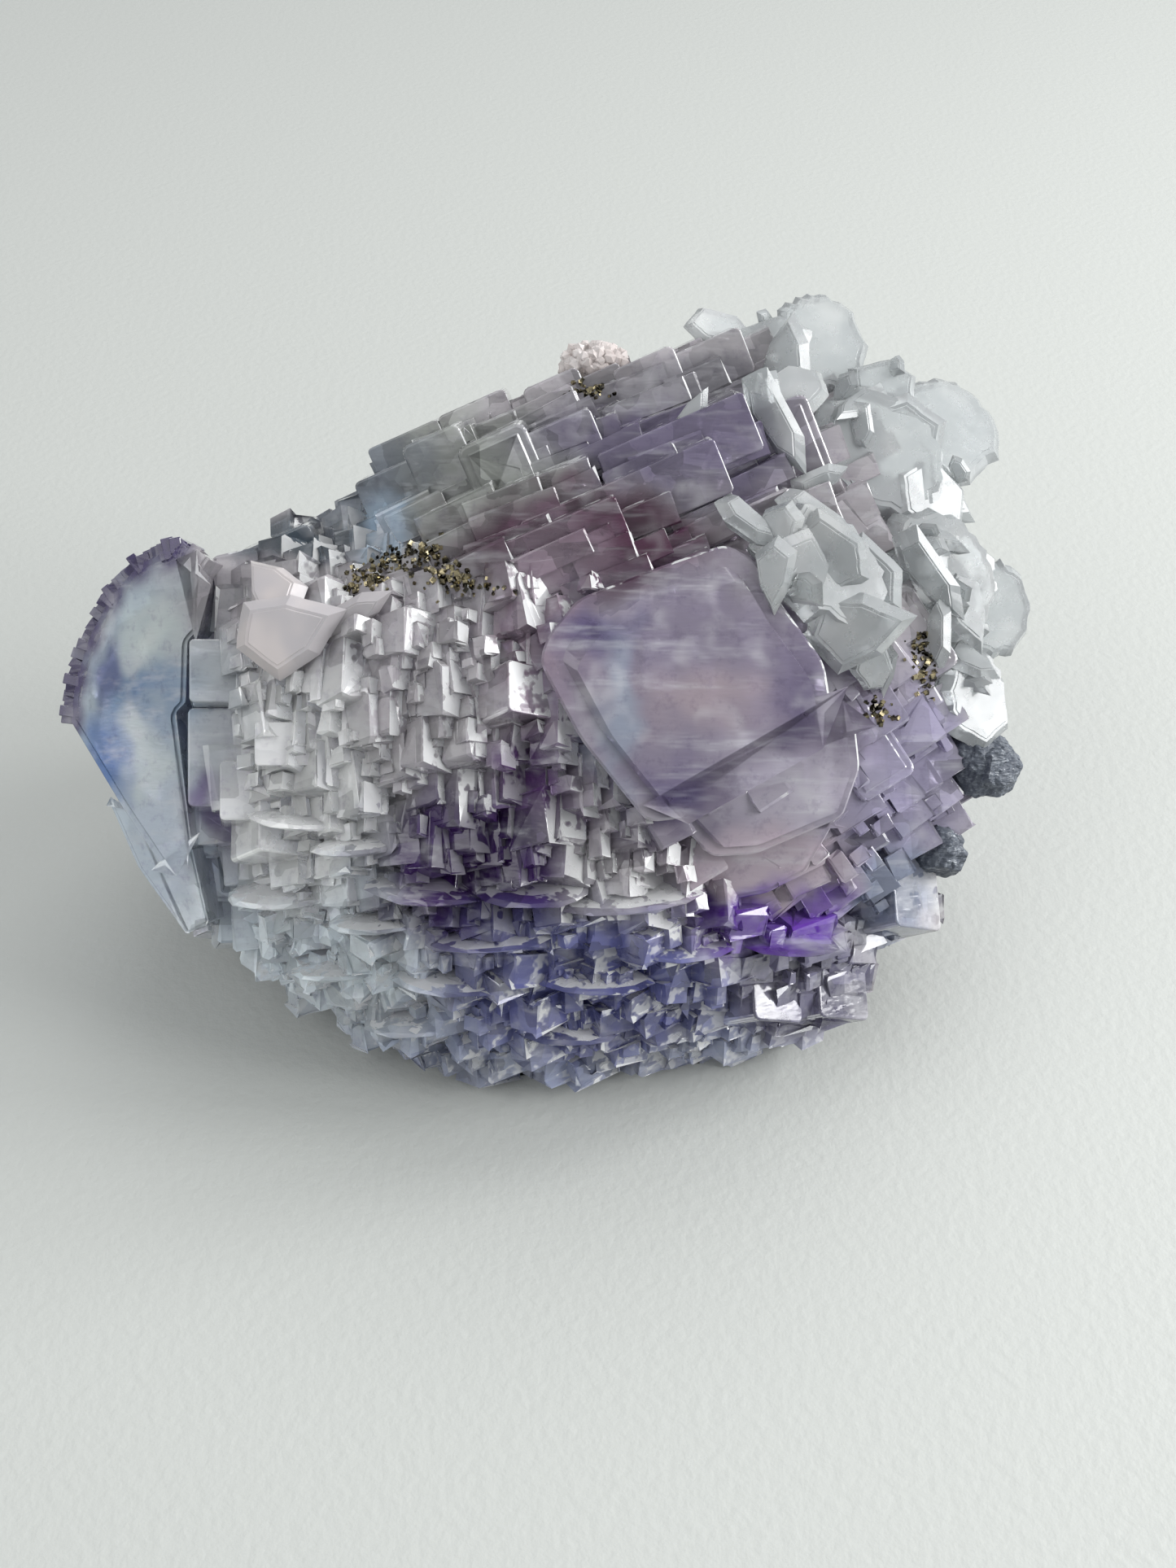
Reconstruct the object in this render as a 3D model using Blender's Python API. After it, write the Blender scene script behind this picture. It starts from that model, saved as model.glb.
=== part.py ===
"""A fluorite specimen: one stepped mass of crystals grown together, with calcite, pyrite and rock on it.

Everything is placed in the display frame, which lies in the face that the specimen shows: s runs across it to
the right, t up it and w out of it, in millimetres from the middle of the mass. to_part() turns that frame by
DISPLAY_LEAN and lifts it, which gives the part's own frame: +Z up, origin under the middle of the part.
"""

import math
import random

import bmesh
import bpy
from mathutils import Matrix, Vector

# Driving dimensions, in millimetres and degrees
MM = 0.001
DISPLAY_LEAN = 45.0
CENTRE_HEIGHT = 27.0
FRONT_BULGE = 22.0
BACK_DEPTH = 32.0
RIM_THICKNESS = 4.0
BACK_WALL = 27.0
BULGE_POWER = 2.4
BACK_POWER = 0.7
GAP = 0.3
ORIGIN_SHIFT = Vector((-0.519, -0.922, 0.0))

# The outline of the fluorite mass, seen square on to the display face: degrees from +s towards +t, and radius
OUTLINE = (
    (0, 40.0), (15, 39.0), (30, 38.5), (45, 37.5), (60, 38.0), (75, 31.5), (90, 28.0), (105, 26.5),
    (120, 26.0), (130, 25.5), (138, 24.5), (146, 25.5), (155, 30.0), (163, 36.5), (171, 41.0),
    (180, 43.5), (185, 44.0), (195, 41.5), (215, 39.0), (228, 37.0), (243, 36.5), (257, 36.5),
    (279, 35.5), (292, 37.0), (306, 40.0), (313, 40.5), (320, 38.0), (327, 40.5), (334, 39.0),
    (343, 39.5), (360, 40.0),
)

lean = math.radians(DISPLAY_LEAN)
DISPLAY = Matrix((
    (1.0, 0.0, 0.0),
    (0.0, math.sin(lean), -math.cos(lean)),
    (0.0, math.cos(lean), math.sin(lean)),
))


def to_part(point):
    """A point of the display frame, in millimetres, as a point of the part's frame, in millimetres."""
    return DISPLAY @ Vector(point) + Vector((0.0, 0.0, CENTRE_HEIGHT)) + ORIGIN_SHIFT


def to_display(point):
    """A point of the part's frame, in millimetres, as a point of the display frame."""
    return DISPLAY.transposed() @ (Vector(point) - Vector((0.0, 0.0, CENTRE_HEIGHT)) - ORIGIN_SHIFT)


def outline_radius(angle):
    """The outline's radius at an angle in degrees, between the listed points."""
    angle %= 360
    for (a, near), (b, far) in zip(OUTLINE, OUTLINE[1:]):
        if a <= angle <= b:
            return near + (far - near) * (angle - a) / (b - a)
    return OUTLINE[0][1]


def rim_share(s, t):
    """0 at the middle of the display face and 1 on its outline."""
    return math.hypot(s, t) / outline_radius(math.degrees(math.atan2(t, s)))


def front(s, t):
    """How far out of the display frame the mass reaches at a place on it."""
    return FRONT_BULGE * (1 - min(1.0, rim_share(s, t)) ** BULGE_POWER)


def depth(point):
    """How deep a point of the display frame lies in the smooth envelope of the mass; negative outside it."""
    s, t, w = point
    share = rim_share(s, t)
    inner = max(0.0, 1 - share * share)
    rear = -RIM_THICKNESS - BACK_DEPTH * inner ** BACK_POWER
    to_wall = BACK_WALL - (DISPLAY @ Vector(point)).y
    side = (1 - share) * outline_radius(math.degrees(math.atan2(t, s)))
    return min(side, 0.85 * (front(s, t) - w), w - rear, to_wall)


def crystal_axes(yaw, lean_back, roll):
    """The three edge directions of a crystal in the display frame, as a matrix's columns."""
    return (
        Matrix.Rotation(math.radians(roll), 3, "Z")
        @ Matrix.Rotation(math.radians(lean_back), 3, "X")
        @ Matrix.Rotation(math.radians(yaw), 3, "Y")
    )


# How the crystals stand: upright edges with two faces in view, windows, leaning bricks, square faces
UPRIGHT_AXES = crystal_axes(yaw=35, lean_back=-15, roll=2)
WINDOW_AXES = crystal_axes(yaw=6, lean_back=-6, roll=32)
BRICK_AXES = crystal_axes(yaw=-6, lean_back=14, roll=24)
SQUARE_AXES = crystal_axes(yaw=12, lean_back=-8, roll=2)

# Each zone's crystal axes, the block it is stepped in (mm along those axes), and how deep in the envelope the
# middle of a block lies at the least, as a share of its shortest side
ZONES = {
    "tip": (UPRIGHT_AXES, (6.2, 7.0, 6.2), 0.42),
    "mosaic": (UPRIGHT_AXES, (5.2, 6.0, 5.2), 0.42),
    "window": (WINDOW_AXES, (6.0, 6.0, 5.6), 0.42),
    "ridge": (BRICK_AXES, (6.4, 4.6, 5.0), 0.42),
    "fringe": (UPRIGHT_AXES, (6.0, 6.0, 5.6), 0.44),
    "rear": (UPRIGHT_AXES, (8.0, 8.0, 8.0), 0.45),
}
VARIATION = 0.25
LAYERS = 0.9
SPREAD_DEG = 2.0
CRUST_BED = 2.2
TIP_BED = 3.8
CORE_DEPTH = 4.0


def zone_of(s, t, w):
    """The zone that a place on the mass belongs to."""
    if w < -6:
        return "rear"
    ridge_foot = 11 + 0.65 * max(0.0, -10 - s) + 0.6 * max(0.0, s - 17)
    if t > ridge_foot:
        return "ridge"
    window_side = -0.4 + (0.8 * (1.9 - t) if t < 1.9 else 1.67 * (t - 1.9))
    if s > window_side and t > -20:
        return "window"
    if s < -26:
        return "tip"
    return "fringe" if t < -20 else "mosaic"


def bed_depth(s, t):
    """How much lower the blocks stand under the calcite crust and under the face of the pointed end."""
    if s < -29 and t > -14:
        return TIP_BED
    return CRUST_BED if s > 33 - 0.52 * t and t > -1 else 0.0


# Large crystals placed by hand: axes, s, t, how proud of the envelope the face stands, size along the axes
LARGE_CRYSTALS = (
    (WINDOW_AXES, 12.2, -0.7, 1.7, (18.8, 16.2, 15.0)),
    (WINDOW_AXES, 19.4, -8.6, 0.8, (15.6, 9.6, 13.0)),
    (WINDOW_AXES, 18.0, -14.6, -0.4, (13.0, 6.5, 11.0)),
    (WINDOW_AXES, 26.5, -5.4, -0.6, (5.6, 9.0, 11.0)),
    (WINDOW_AXES, 30.4, 3.4, -0.2, (7.0, 8.4, 11.0)),
    (BRICK_AXES, -3.6, 17.2, 0.3, (6.2, 6.4, 9.0)),
    (BRICK_AXES, -8.9, 17.9, 0.0, (5.4, 6.6, 9.0)),
    (BRICK_AXES, -13.7, 16.4, -0.4, (5.6, 4.6, 7.0)),
    (BRICK_AXES, 1.7, 19.0, 0.2, (6.0, 5.0, 8.0)),
    (BRICK_AXES, -12.6, 20.8, -0.6, (7.0, 4.2, 6.0)),
    (BRICK_AXES, -6.4, 23.6, -0.6, (6.6, 4.0, 6.0)),
    (BRICK_AXES, 0.8, 25.2, -0.6, (5.4, 4.4, 6.0)),
    (BRICK_AXES, 4.4, 25.8, -1.2, (5.2, 3.8, 6.0)),
    (BRICK_AXES, 9.0, 26.4, -0.6, (5.8, 4.6, 6.0)),
    (BRICK_AXES, 14.6, 28.4, -0.6, (6.4, 4.2, 6.0)),
    (BRICK_AXES, 4.5, 13.6, -0.4, (17.0, 4.6, 9.0)),
    (BRICK_AXES, 11.0, 18.4, -0.2, (13.0, 5.0, 9.0)),
    (BRICK_AXES, 19.0, 18.6, 0.2, (9.0, 8.0, 9.0)),
    (BRICK_AXES, -23.8, 10.6, -0.8, (7.6, 4.4, 7.0)),
    (SQUARE_AXES, -27.2, -4.2, 0.3, (7.0, 14.0, 9.0)),
    (SQUARE_AXES, -29.6, 6.6, -1.4, (5.6, 4.6, 7.0)),
    (UPRIGHT_AXES, -23.0, -12.4, 0.0, (6.2, 6.2, 5.4)),
    (UPRIGHT_AXES, 1.0, 5.8, -1.0, (5.6, 5.6, 7.0)),
    (UPRIGHT_AXES, 31.0, -19.6, 0.4, (6.0, 6.0, 6.2)),
    (UPRIGHT_AXES, 24.6, -27.6, 0.0, (6.2, 6.2, 5.8)),
    (UPRIGHT_AXES, 18.2, -27.6, 0.0, (5.8, 5.8, 6.2)),
)

# How much the side edges of the two windows are rounded, which are the first two of the large crystals
WINDOW_ROUNDING = {0: 3.0, 1: 2.4}

# The great face at the pointed end: its corners, how far out it lies at s = -36, its slope and its thickness
TIP_OUTLINE = (
    (-43.2, -3.2), (-42.6, 0.4), (-41.0, 4.2), (-38.6, 7.6), (-35.4, 10.2), (-31.6, 11.2), (-29.0, 9.4),
    (-29.4, 4.0), (-30.4, 3.2), (-30.6, -2.0), (-31.6, -2.8), (-30.0, -14.0), (-33.0, -16.0),
    (-37.4, -10.8),
)
TIP_FACE = 8.6
TIP_SLOPE = 0.72
TIP_THICKNESS = 9.0

# The outlines that calcite blades have, as corners in shares of half their length and half their width
SHAPES = {
    "disk": (
        (1.0, 0.1), (0.82, 0.56), (0.5, 0.9), (0.05, 1.0), (-0.5, 0.88), (-0.9, 0.5), (-1.0, -0.08),
        (-0.78, -0.66), (-0.3, -0.97), (0.3, -0.94), (0.84, -0.52),
    ),
    "plate": ((1.0, 0.22), (0.45, 0.95), (-0.55, 0.9), (-1.0, 0.15), (-0.6, -0.85), (0.5, -1.0)),
    "kite": ((1.0, 0.0), (0.2, 0.75), (-0.6, 1.0), (-1.0, 0.1), (-0.5, -0.95), (0.3, -0.7)),
    "spear": ((1.0, -0.1), (0.45, 0.8), (-0.9, 1.0), (-1.0, -0.4), (-0.5, -1.0), (0.5, -0.8)),
}
FLAT_SHARE = 0.72

# Calcite blades by cluster. Each blade: shape, s, t, how proud it stands, half-length, half-width, thickness,
# then three angles: how far its flat face tips from the display face, towards which way, and where it points
CALCITE = {
    "calcite_ridge": (
        ("disk", 24.6, 31.3, 0.6, 5.2, 4.8, 2.6, 16, 40, 75),
        ("kite", 21.2, 29.4, 3.2, 3.6, 2.6, 3.0, 34, 200, 80),
        ("plate", 15.4, 32.6, 1.0, 3.3, 2.2, 2.4, 30, 80, -12),
        ("plate", 19.6, 30.6, 0.4, 4.4, 3.0, 3.0, 20, 120, 20),
    ),
    "calcite_long_blade": (
        ("spear", 19.3, 21.3, 3.2, 5.0, 1.7, 2.2, 26, 200, -59),
        ("plate", 20.8, 24.2, 4.0, 3.4, 2.8, 3.6, 24, 100, 40),
    ),
    "calcite_upper": (
        ("disk", 28.8, 20.4, 3.6, 8.8, 6.6, 5.0, 42, 35, -50),
        ("plate", 24.2, 24.6, 4.0, 3.6, 3.2, 3.0, 26, 130, 35),
        ("kite", 24.2, 20.6, 4.2, 3.2, 2.1, 2.4, 28, 260, -82),
        ("plate", 29.6, 23.6, 2.8, 3.8, 2.6, 2.6, 24, 330, -45),
        ("plate", 27.9, 17.6, 3.6, 4.2, 3.8, 3.0, 12, 200, 60),
        ("disk", 35.6, 23.2, 0.4, 6.3, 5.6, 2.8, 20, 45, 10),
        ("plate", 32.6, 21.6, 3.2, 2.6, 1.3, 2.0, 54, 210, -65),
        ("plate", 34.0, 16.6, 3.0, 4.2, 3.6, 2.6, 22, 20, -40),
    ),
    "calcite_splinter": (
        ("spear", 22.9, 16.7, 2.0, 2.6, 1.2, 2.2, 30, 290, 28),
    ),
    "calcite_right": (
        ("disk", 34.2, 9.6, 3.0, 7.0, 5.6, 4.8, 42, 15, -60),
        ("plate", 29.0, 12.2, 3.4, 3.8, 3.2, 2.8, 22, 190, 120),
        ("spear", 33.8, 12.6, 3.8, 3.4, 1.3, 2.0, 50, 80, -32),
        ("spear", 33.0, 9.0, 4.0, 4.8, 1.7, 2.4, 30, 215, -52),
        ("plate", 37.8, 10.2, 2.4, 3.8, 3.4, 2.6, 26, 25, -30),
        ("disk", 40.6, 7.0, 0.8, 4.6, 3.8, 2.8, 16, 340, 80),
        ("spear", 33.6, 4.2, 3.0, 3.6, 1.3, 2.4, 40, 180, 85),
    ),
    "calcite_front": (
        ("disk", 23.6, 8.4, 0.2, 6.6, 4.0, 4.0, 24, 20, -50),
        ("spear", 16.6, 11.9, 1.2, 2.8, 1.3, 2.0, 36, 60, -42),
        ("plate", 18.8, 11.0, 1.6, 2.6, 1.8, 2.4, 34, 190, 65),
        ("kite", 18.6, 8.0, 1.6, 2.9, 1.6, 2.2, 30, 200, -92),
        ("plate", 20.8, 8.6, 1.8, 2.8, 2.0, 2.2, 34, 320, -50),
        ("spear", 22.7, 12.4, 1.8, 4.0, 1.7, 2.8, 46, 60, -35),
        ("plate", 22.8, 9.8, 2.4, 3.4, 2.5, 2.6, 20, 240, -30),
        ("plate", 26.3, 8.0, 1.8, 3.6, 2.6, 2.8, 18, 200, -40),
        ("kite", 25.8, 3.8, 2.0, 4.6, 3.4, 3.4, 22, 230, 12),
        ("plate", 27.2, 0.9, 0.6, 2.2, 1.6, 2.2, 26, 300, -60),
    ),
    "calcite_lower": (
        ("disk", 37.6, -0.4, 0.4, 4.0, 3.4, 4.0, 38, 0, 60),
        ("plate", 36.2, -0.6, 2.6, 3.3, 3.1, 3.0, 22, 210, 60),
        ("plate", 39.0, -1.9, 1.0, 4.2, 3.0, 2.8, 22, 10, 82),
        ("spear", 37.6, 2.0, 1.8, 3.0, 1.7, 2.2, 34, 70, -30),
    ),
    "calcite_chip": (
        ("kite", 12.2, 21.8, 1.8, 2.4, 1.2, 2.0, 20, 150, 62),
    ),
    "calcite_left": (
        ("kite", -22.4, 7.0, 2.0, 3.8, 2.5, 3.4, 24, 130, 130),
        ("plate", -20.0, 3.3, 0.5, 4.8, 3.5, 3.8, 14, 220, 12),
        ("spear", -15.6, 4.8, 0.2, 4.2, 1.3, 2.6, 30, 250, 32),
    ),
}

# Crusts of pyrite cubes: the side of a cube, how far apart they lie, and the line of places that they follow
PYRITE = {
    "pyrite_left": (1.8, 1.4, ((-15.2, 7.8), (-13.0, 10.0), (-9.6, 9.8), (-8.4, 7.6), (-4.6, 6.4))),
    "pyrite_top": (1.3, 0.9, ((2.4, 26.0), (4.2, 25.6))),
    "pyrite_right": (1.5, 1.4, ((32.6, 3.9), (31.8, 1.4), (32.6, -1.2))),
    "pyrite_lower": (1.2, 1.0, ((27.4, -1.8), (28.4, -3.6))),
}

# Lumps made of rounded grains: how many grains, their radius, and the lump's middle (s, t, w) and half-sizes
LUMPS = {
    "calcite_rosette": (6, 1.5, (4.1, 29.0, 2.4), (2.6, 1.5, 2.2)),
    "rock_right": (5, 2.6, (39.2, -6.8, 0.6), (2.2, 2.6, 3.0)),
    "rock_lower": (4, 1.8, (35.4, -15.2, 2.4), (1.2, 1.8, 1.6)),
}

# Each material: base colour, roughness and metallic value
MATERIALS = {
    "fluorite": ((0.36, 0.32, 0.46), 0.12, 0.0),
    "calcite": ((0.82, 0.82, 0.80), 0.35, 0.0),
    "calcite_pink": ((0.84, 0.78, 0.77), 0.35, 0.0),
    "pyrite": ((0.42, 0.34, 0.16), 0.25, 1.0),
    "rosette": ((0.86, 0.70, 0.64), 0.55, 0.0),
    "rock": ((0.13, 0.14, 0.17), 0.50, 0.0),
}


def material(name):
    """The named material, made the first time it is asked for."""
    made = bpy.data.materials.get(name)
    if made is None:
        colour, roughness, metallic = MATERIALS[name]
        made = bpy.data.materials.new(name)
        made.use_nodes = True
        surface = made.node_tree.nodes["Principled BSDF"]
        surface.inputs["Base Color"].default_value = (*colour, 1.0)
        surface.inputs["Roughness"].default_value = roughness
        surface.inputs["Metallic"].default_value = metallic
    return made


def new_object(name, bm):
    """An object from a bmesh that is in millimetres of the part's frame; the bmesh is freed."""
    bmesh.ops.scale(bm, vec=(MM, MM, MM), verts=bm.verts)
    mesh = bpy.data.meshes.new(name)
    bm.to_mesh(mesh)
    bm.free()
    obj = bpy.data.objects.new(name, mesh)
    bpy.context.scene.collection.objects.link(obj)
    return obj


def set_down(bm, axes, centre):
    """Turns a bmesh made round its own origin to a crystal's axes, and puts it at a display-frame point."""
    turn = (DISPLAY @ axes).to_4x4()
    bmesh.ops.transform(bm, matrix=Matrix.Translation(to_part(centre)) @ turn, verts=bm.verts)


def block(centre, size, axes, rounding=0.0):
    """One cuboid crystal; its size is along its own axes, and its side edges may be rounded."""
    bm = bmesh.new()
    bmesh.ops.create_cube(bm, size=1.0)
    bmesh.ops.scale(bm, vec=size, verts=bm.verts)
    if rounding:
        sides = [e for e in bm.edges if abs(e.verts[0].co.z - e.verts[1].co.z) > size[2] / 2]
        bmesh.ops.bevel(
            bm, geom=sides, offset=rounding, segments=3, profile=0.5, affect="EDGES", material=-1
        )
    set_down(bm, axes, centre)
    return new_object("block", bm)


def tip_slab():
    """The great face at the pointed end, as a sloping slab."""
    bm = bmesh.new()
    lowest = bm.faces.new([bm.verts.new((s, t, 0)) for s, t in TIP_OUTLINE])
    raised = bmesh.ops.extrude_face_region(bm, geom=[lowest])["geom"]
    face = next(item for item in raised if isinstance(item, bmesh.types.BMFace))
    bmesh.ops.translate(bm, vec=(0, 0, TIP_THICKNESS), verts=face.verts[:])
    bmesh.ops.recalc_face_normals(bm, faces=bm.faces)
    for v in bm.verts:
        v.co.z += TIP_SLOPE * (v.co.x + 36.0) + TIP_FACE - TIP_THICKNESS
    set_down(bm, Matrix.Identity(3), (0, 0, 0))
    return new_object("tip slab", bm)


def blade(shape, s, t, proud, half_length, half_width, thickness, tip, towards, turn, grow=0.0):
    """One calcite blade: a flat tablet of the shape's outline whose rim comes to an edge half-way up."""
    length = half_length + grow
    width = half_width + grow
    height = thickness / 2 + grow
    bm = bmesh.new()
    corners = [bm.verts.new((x * length, y * width, -height)) for x, y in SHAPES[shape]]
    lowest = bm.faces.new(corners)
    bmesh.ops.scale(bm, vec=(FLAT_SHARE, FLAT_SHARE, 1), verts=bm.verts)
    face = lowest
    for spread in (1 / FLAT_SHARE, FLAT_SHARE):
        raised = bmesh.ops.extrude_face_region(bm, geom=[face])["geom"]
        if face is not lowest:
            bmesh.ops.delete(bm, geom=[face], context="FACES_ONLY")
        face = next(item for item in raised if isinstance(item, bmesh.types.BMFace))
        bmesh.ops.translate(bm, vec=(0, 0, height), verts=face.verts[:])
        bmesh.ops.scale(bm, vec=(spread, spread, 1), verts=face.verts[:])
    bmesh.ops.recalc_face_normals(bm, faces=bm.faces)
    axes = (
        Matrix.Rotation(math.radians(towards), 3, "Z")
        @ Matrix.Rotation(math.radians(tip), 3, "Y")
        @ Matrix.Rotation(math.radians(turn - towards), 3, "Z")
    )
    set_down(bm, axes, (s, t, front(s, t) + proud))
    return new_object("blade", bm)


def grain(rng, radius, centre):
    """One roughly rounded grain."""
    bm = bmesh.new()
    bmesh.ops.create_icosphere(bm, subdivisions=1, radius=radius)
    for v in bm.verts:
        v.co *= rng.uniform(0.82, 1.15)
    set_down(bm, crystal_axes(*[rng.uniform(0, 90) for _ in range(3)]), centre)
    return new_object("grain", bm)


def outer_shell(obj):
    """Keeps the largest closed shell of an object's mesh, without a Boolean's hollows and crumbs."""
    bm = bmesh.new()
    bm.from_mesh(obj.data)
    waiting = set(bm.faces)
    shells = []
    while waiting:
        shell = {waiting.pop()}
        edge_of_shell = list(shell)
        while edge_of_shell:
            face = edge_of_shell.pop()
            near = {other for edge in face.edges for other in edge.link_faces} & waiting
            waiting -= near
            shell |= near
            edge_of_shell.extend(near)
        shells.append(shell)
    largest = max(shells, key=lambda shell: sum(face.calc_area() for face in shell))
    loose = [face for shell in shells if shell is not largest for face in shell]
    bmesh.ops.delete(bm, geom=loose, context="FACES")
    bm.to_mesh(obj.data)
    bm.free()


def combine(obj, others, operation):
    """Applies a Boolean of obj with several closed objects, removes them and keeps obj's outer shell."""
    tools = bpy.data.collections.new("tools")
    bpy.context.scene.collection.children.link(tools)
    for other in others:
        tools.objects.link(other)
    step = obj.modifiers.new(operation.lower(), "BOOLEAN")
    step.operation = operation
    step.operand_type = "COLLECTION"
    step.collection = tools
    graph = bpy.context.evaluated_depsgraph_get()
    made = bpy.data.meshes.new_from_object(obj.evaluated_get(graph))
    obj.modifiers.clear()
    obj.data = made
    for other in others:
        bpy.data.objects.remove(other)
    bpy.data.collections.remove(tools)
    outer_shell(obj)
    return obj


def joined(shapes):
    """Several overlapping objects as one solid."""
    return combine(shapes[0], shapes[1:], "UNION") if len(shapes) > 1 else shapes[0]


def envelope_core(below):
    """The smooth inside of the mass: a ball whose points are pushed out to a set depth below the envelope."""
    bm = bmesh.new()
    bmesh.ops.create_icosphere(bm, subdivisions=3, radius=1.0)
    middle = Vector((0.0, 0.0, -6.0))
    for v in bm.verts:
        near, far = 0.0, 60.0
        while far - near > 0.05:
            reach = (near + far) / 2
            if depth(middle + reach * v.co) > below:
                near = reach
            else:
                far = reach
        v.co = to_part(middle + near * v.co)
    return new_object("core", bm)


def zone_blocks(zone):
    """The stepped blocks of one zone: a grid along its crystal axes, kept in the skin of the envelope."""
    axes, cell, least_share = ZONES[zone]
    rng = random.Random(zone)
    skin = LAYERS * sum(cell) / 3
    reach = [int(56 / side) for side in cell]
    made = []
    for i in range(-reach[0], reach[0] + 1):
        for j in range(-reach[1], reach[1] + 1):
            for k in range(-reach[2], reach[2] + 1):
                nudge = Vector([rng.uniform(-0.12, 0.12) * side for side in cell])
                grown = [side * (1.04 + rng.uniform(0, VARIATION)) for side in cell]
                turned = [rng.uniform(-SPREAD_DEG, SPREAD_DEG) for _ in range(3)]
                centre = axes @ (Vector((i * cell[0], j * cell[1], k * cell[2])) + nudge)
                inside = depth(centre)
                least = least_share * min(cell) + bed_depth(centre.x, centre.y)
                if least < inside < skin + least and zone_of(*centre) == zone:
                    made.append(block(centre, grown, crystal_axes(*turned) @ axes))
    return made


def fluorite():
    """The whole mass as one solid: a smooth core, every zone's blocks, the large crystals and the tip."""
    core = envelope_core(CORE_DEPTH)
    blocks = [made for zone in ZONES for made in zone_blocks(zone)]
    for number, (axes, s, t, proud, size) in enumerate(LARGE_CRYSTALS):
        outward = Vector((0, 0, 1)) if axes is UPRIGHT_AXES else axes @ Vector((0, 0, 1))
        centre = Vector((s, t, front(s, t) + proud)) - outward * size[2] / 2
        blocks.append(block(centre, size, axes, WINDOW_ROUNDING.get(number, 0.0)))
    return combine(core, [*blocks, tip_slab()], "UNION")


def surface_of(obj, s, t):
    """Where a line into the display face at s, t meets an object."""
    start = to_part((s, t, 60.0)) * MM
    inwards = DISPLAY @ Vector((0, 0, -1))
    found, place, _, _ = obj.ray_cast(start, inwards)
    return to_display(place / MM) if found else Vector((s, t, front(s, t)))


def pyrite_places(name, mass):
    """The middles and axes of a crust's cubes, spaced along its line and laid on the mass."""
    side, spacing, line = PYRITE[name]
    rng = random.Random(name)
    places = []
    for start, end in zip(line, line[1:]):
        steps = max(1, round(math.dist(start, end) / spacing))
        for n in range(steps):
            s, t = Vector(start).lerp(Vector(end), n / steps)
            t += rng.uniform(-0.25, 0.25) * side
            turned = crystal_axes(*[rng.uniform(0, 90) for _ in range(3)])
            places.append((surface_of(mass, s, t), turned))
    return places


def pyrite_crust(name, grow=0.0):
    """A crust of pyrite cubes as one solid; more cubes bridge a step in the surface between two places."""
    side = PYRITE[name][0]
    size = [side + 2 * grow] * 3
    places = crusts[name]
    cubes = []
    for (here, turned), (there, _) in zip(places, places[1:] + places[-1:]):
        bridges = max(1, round((there - here).length / (0.7 * side)))
        for n in range(bridges):
            cubes.append(block(here.lerp(there, n / bridges), size, turned))
    return joined(cubes)


def lump(name, grow=0.0):
    """A lump of grains round its middle as one solid."""
    count, radius, middle, reach = LUMPS[name]
    rng = random.Random(name)
    grains = []
    for n in range(count):
        out = 0 if n == 0 else rng.uniform(0.5, 1)
        away = Vector([rng.gauss(0, 1) for _ in range(3)]).normalized() * out
        centre = Vector([m + a * r for m, a, r in zip(middle, away, reach)])
        share = 1.5 if n == 0 else rng.uniform(0.75, 1.2)
        grains.append(grain(rng, radius * share + grow, centre))
    return joined(grains)


def calcite_cluster(name, grow=0.0):
    """The blades of one calcite cluster as one solid, each of them grown by a margin."""
    return joined([blade(*each, grow=grow) for each in CALCITE[name]])


for old in list(bpy.data.objects):
    bpy.data.objects.remove(old)

mass = fluorite()
mass.name = "fluorite"
ground = bmesh.new()
bmesh.ops.create_cube(ground, size=1.0)
bmesh.ops.scale(ground, vec=(200, 200, 40), verts=ground.verts)
bmesh.ops.translate(ground, vec=(0, 0, -20), verts=ground.verts)
combine(mass, [new_object("ground", ground)], "DIFFERENCE")

# Each smaller piece is made at its size, then again grown by the gap to cut its seat in the pieces it meets
crusts = {name: pyrite_places(name, mass) for name in PYRITE}
makers = {name: calcite_cluster for name in CALCITE}
makers.update({name: lump for name in LUMPS})
makers.update({name: pyrite_crust for name in PYRITE})
for name, make in makers.items():
    piece = make(name)
    piece.name = name
    for earlier in makers:
        if earlier == name:
            break
        combine(piece, [makers[earlier](earlier, grow=GAP)], "DIFFERENCE")
    combine(mass, [make(name, grow=GAP)], "DIFFERENCE")

own_kinds = {"calcite_rosette": "rosette", "calcite_left": "calcite_pink"}
for obj in bpy.data.objects:
    kind = own_kinds.get(obj.name, obj.name.split("_")[0])
    obj.data.materials.clear()
    obj.data.materials.append(material(kind))
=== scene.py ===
# %% [markdown]
# # A fluorite specimen, crystal by crystal
# This lesson dresses a plain model of a mineral specimen: hundreds of small fluorite cubes grown into one mass,
# with calcite blades, grains of pyrite and two lumps of dark rock on it. The imported model says where each piece is
# and how large it is. We load it first and count its nodes.

# %% Load the frame
import math
import random

import bmesh
import bpy
from mathutils import Matrix, Vector, noise


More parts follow.
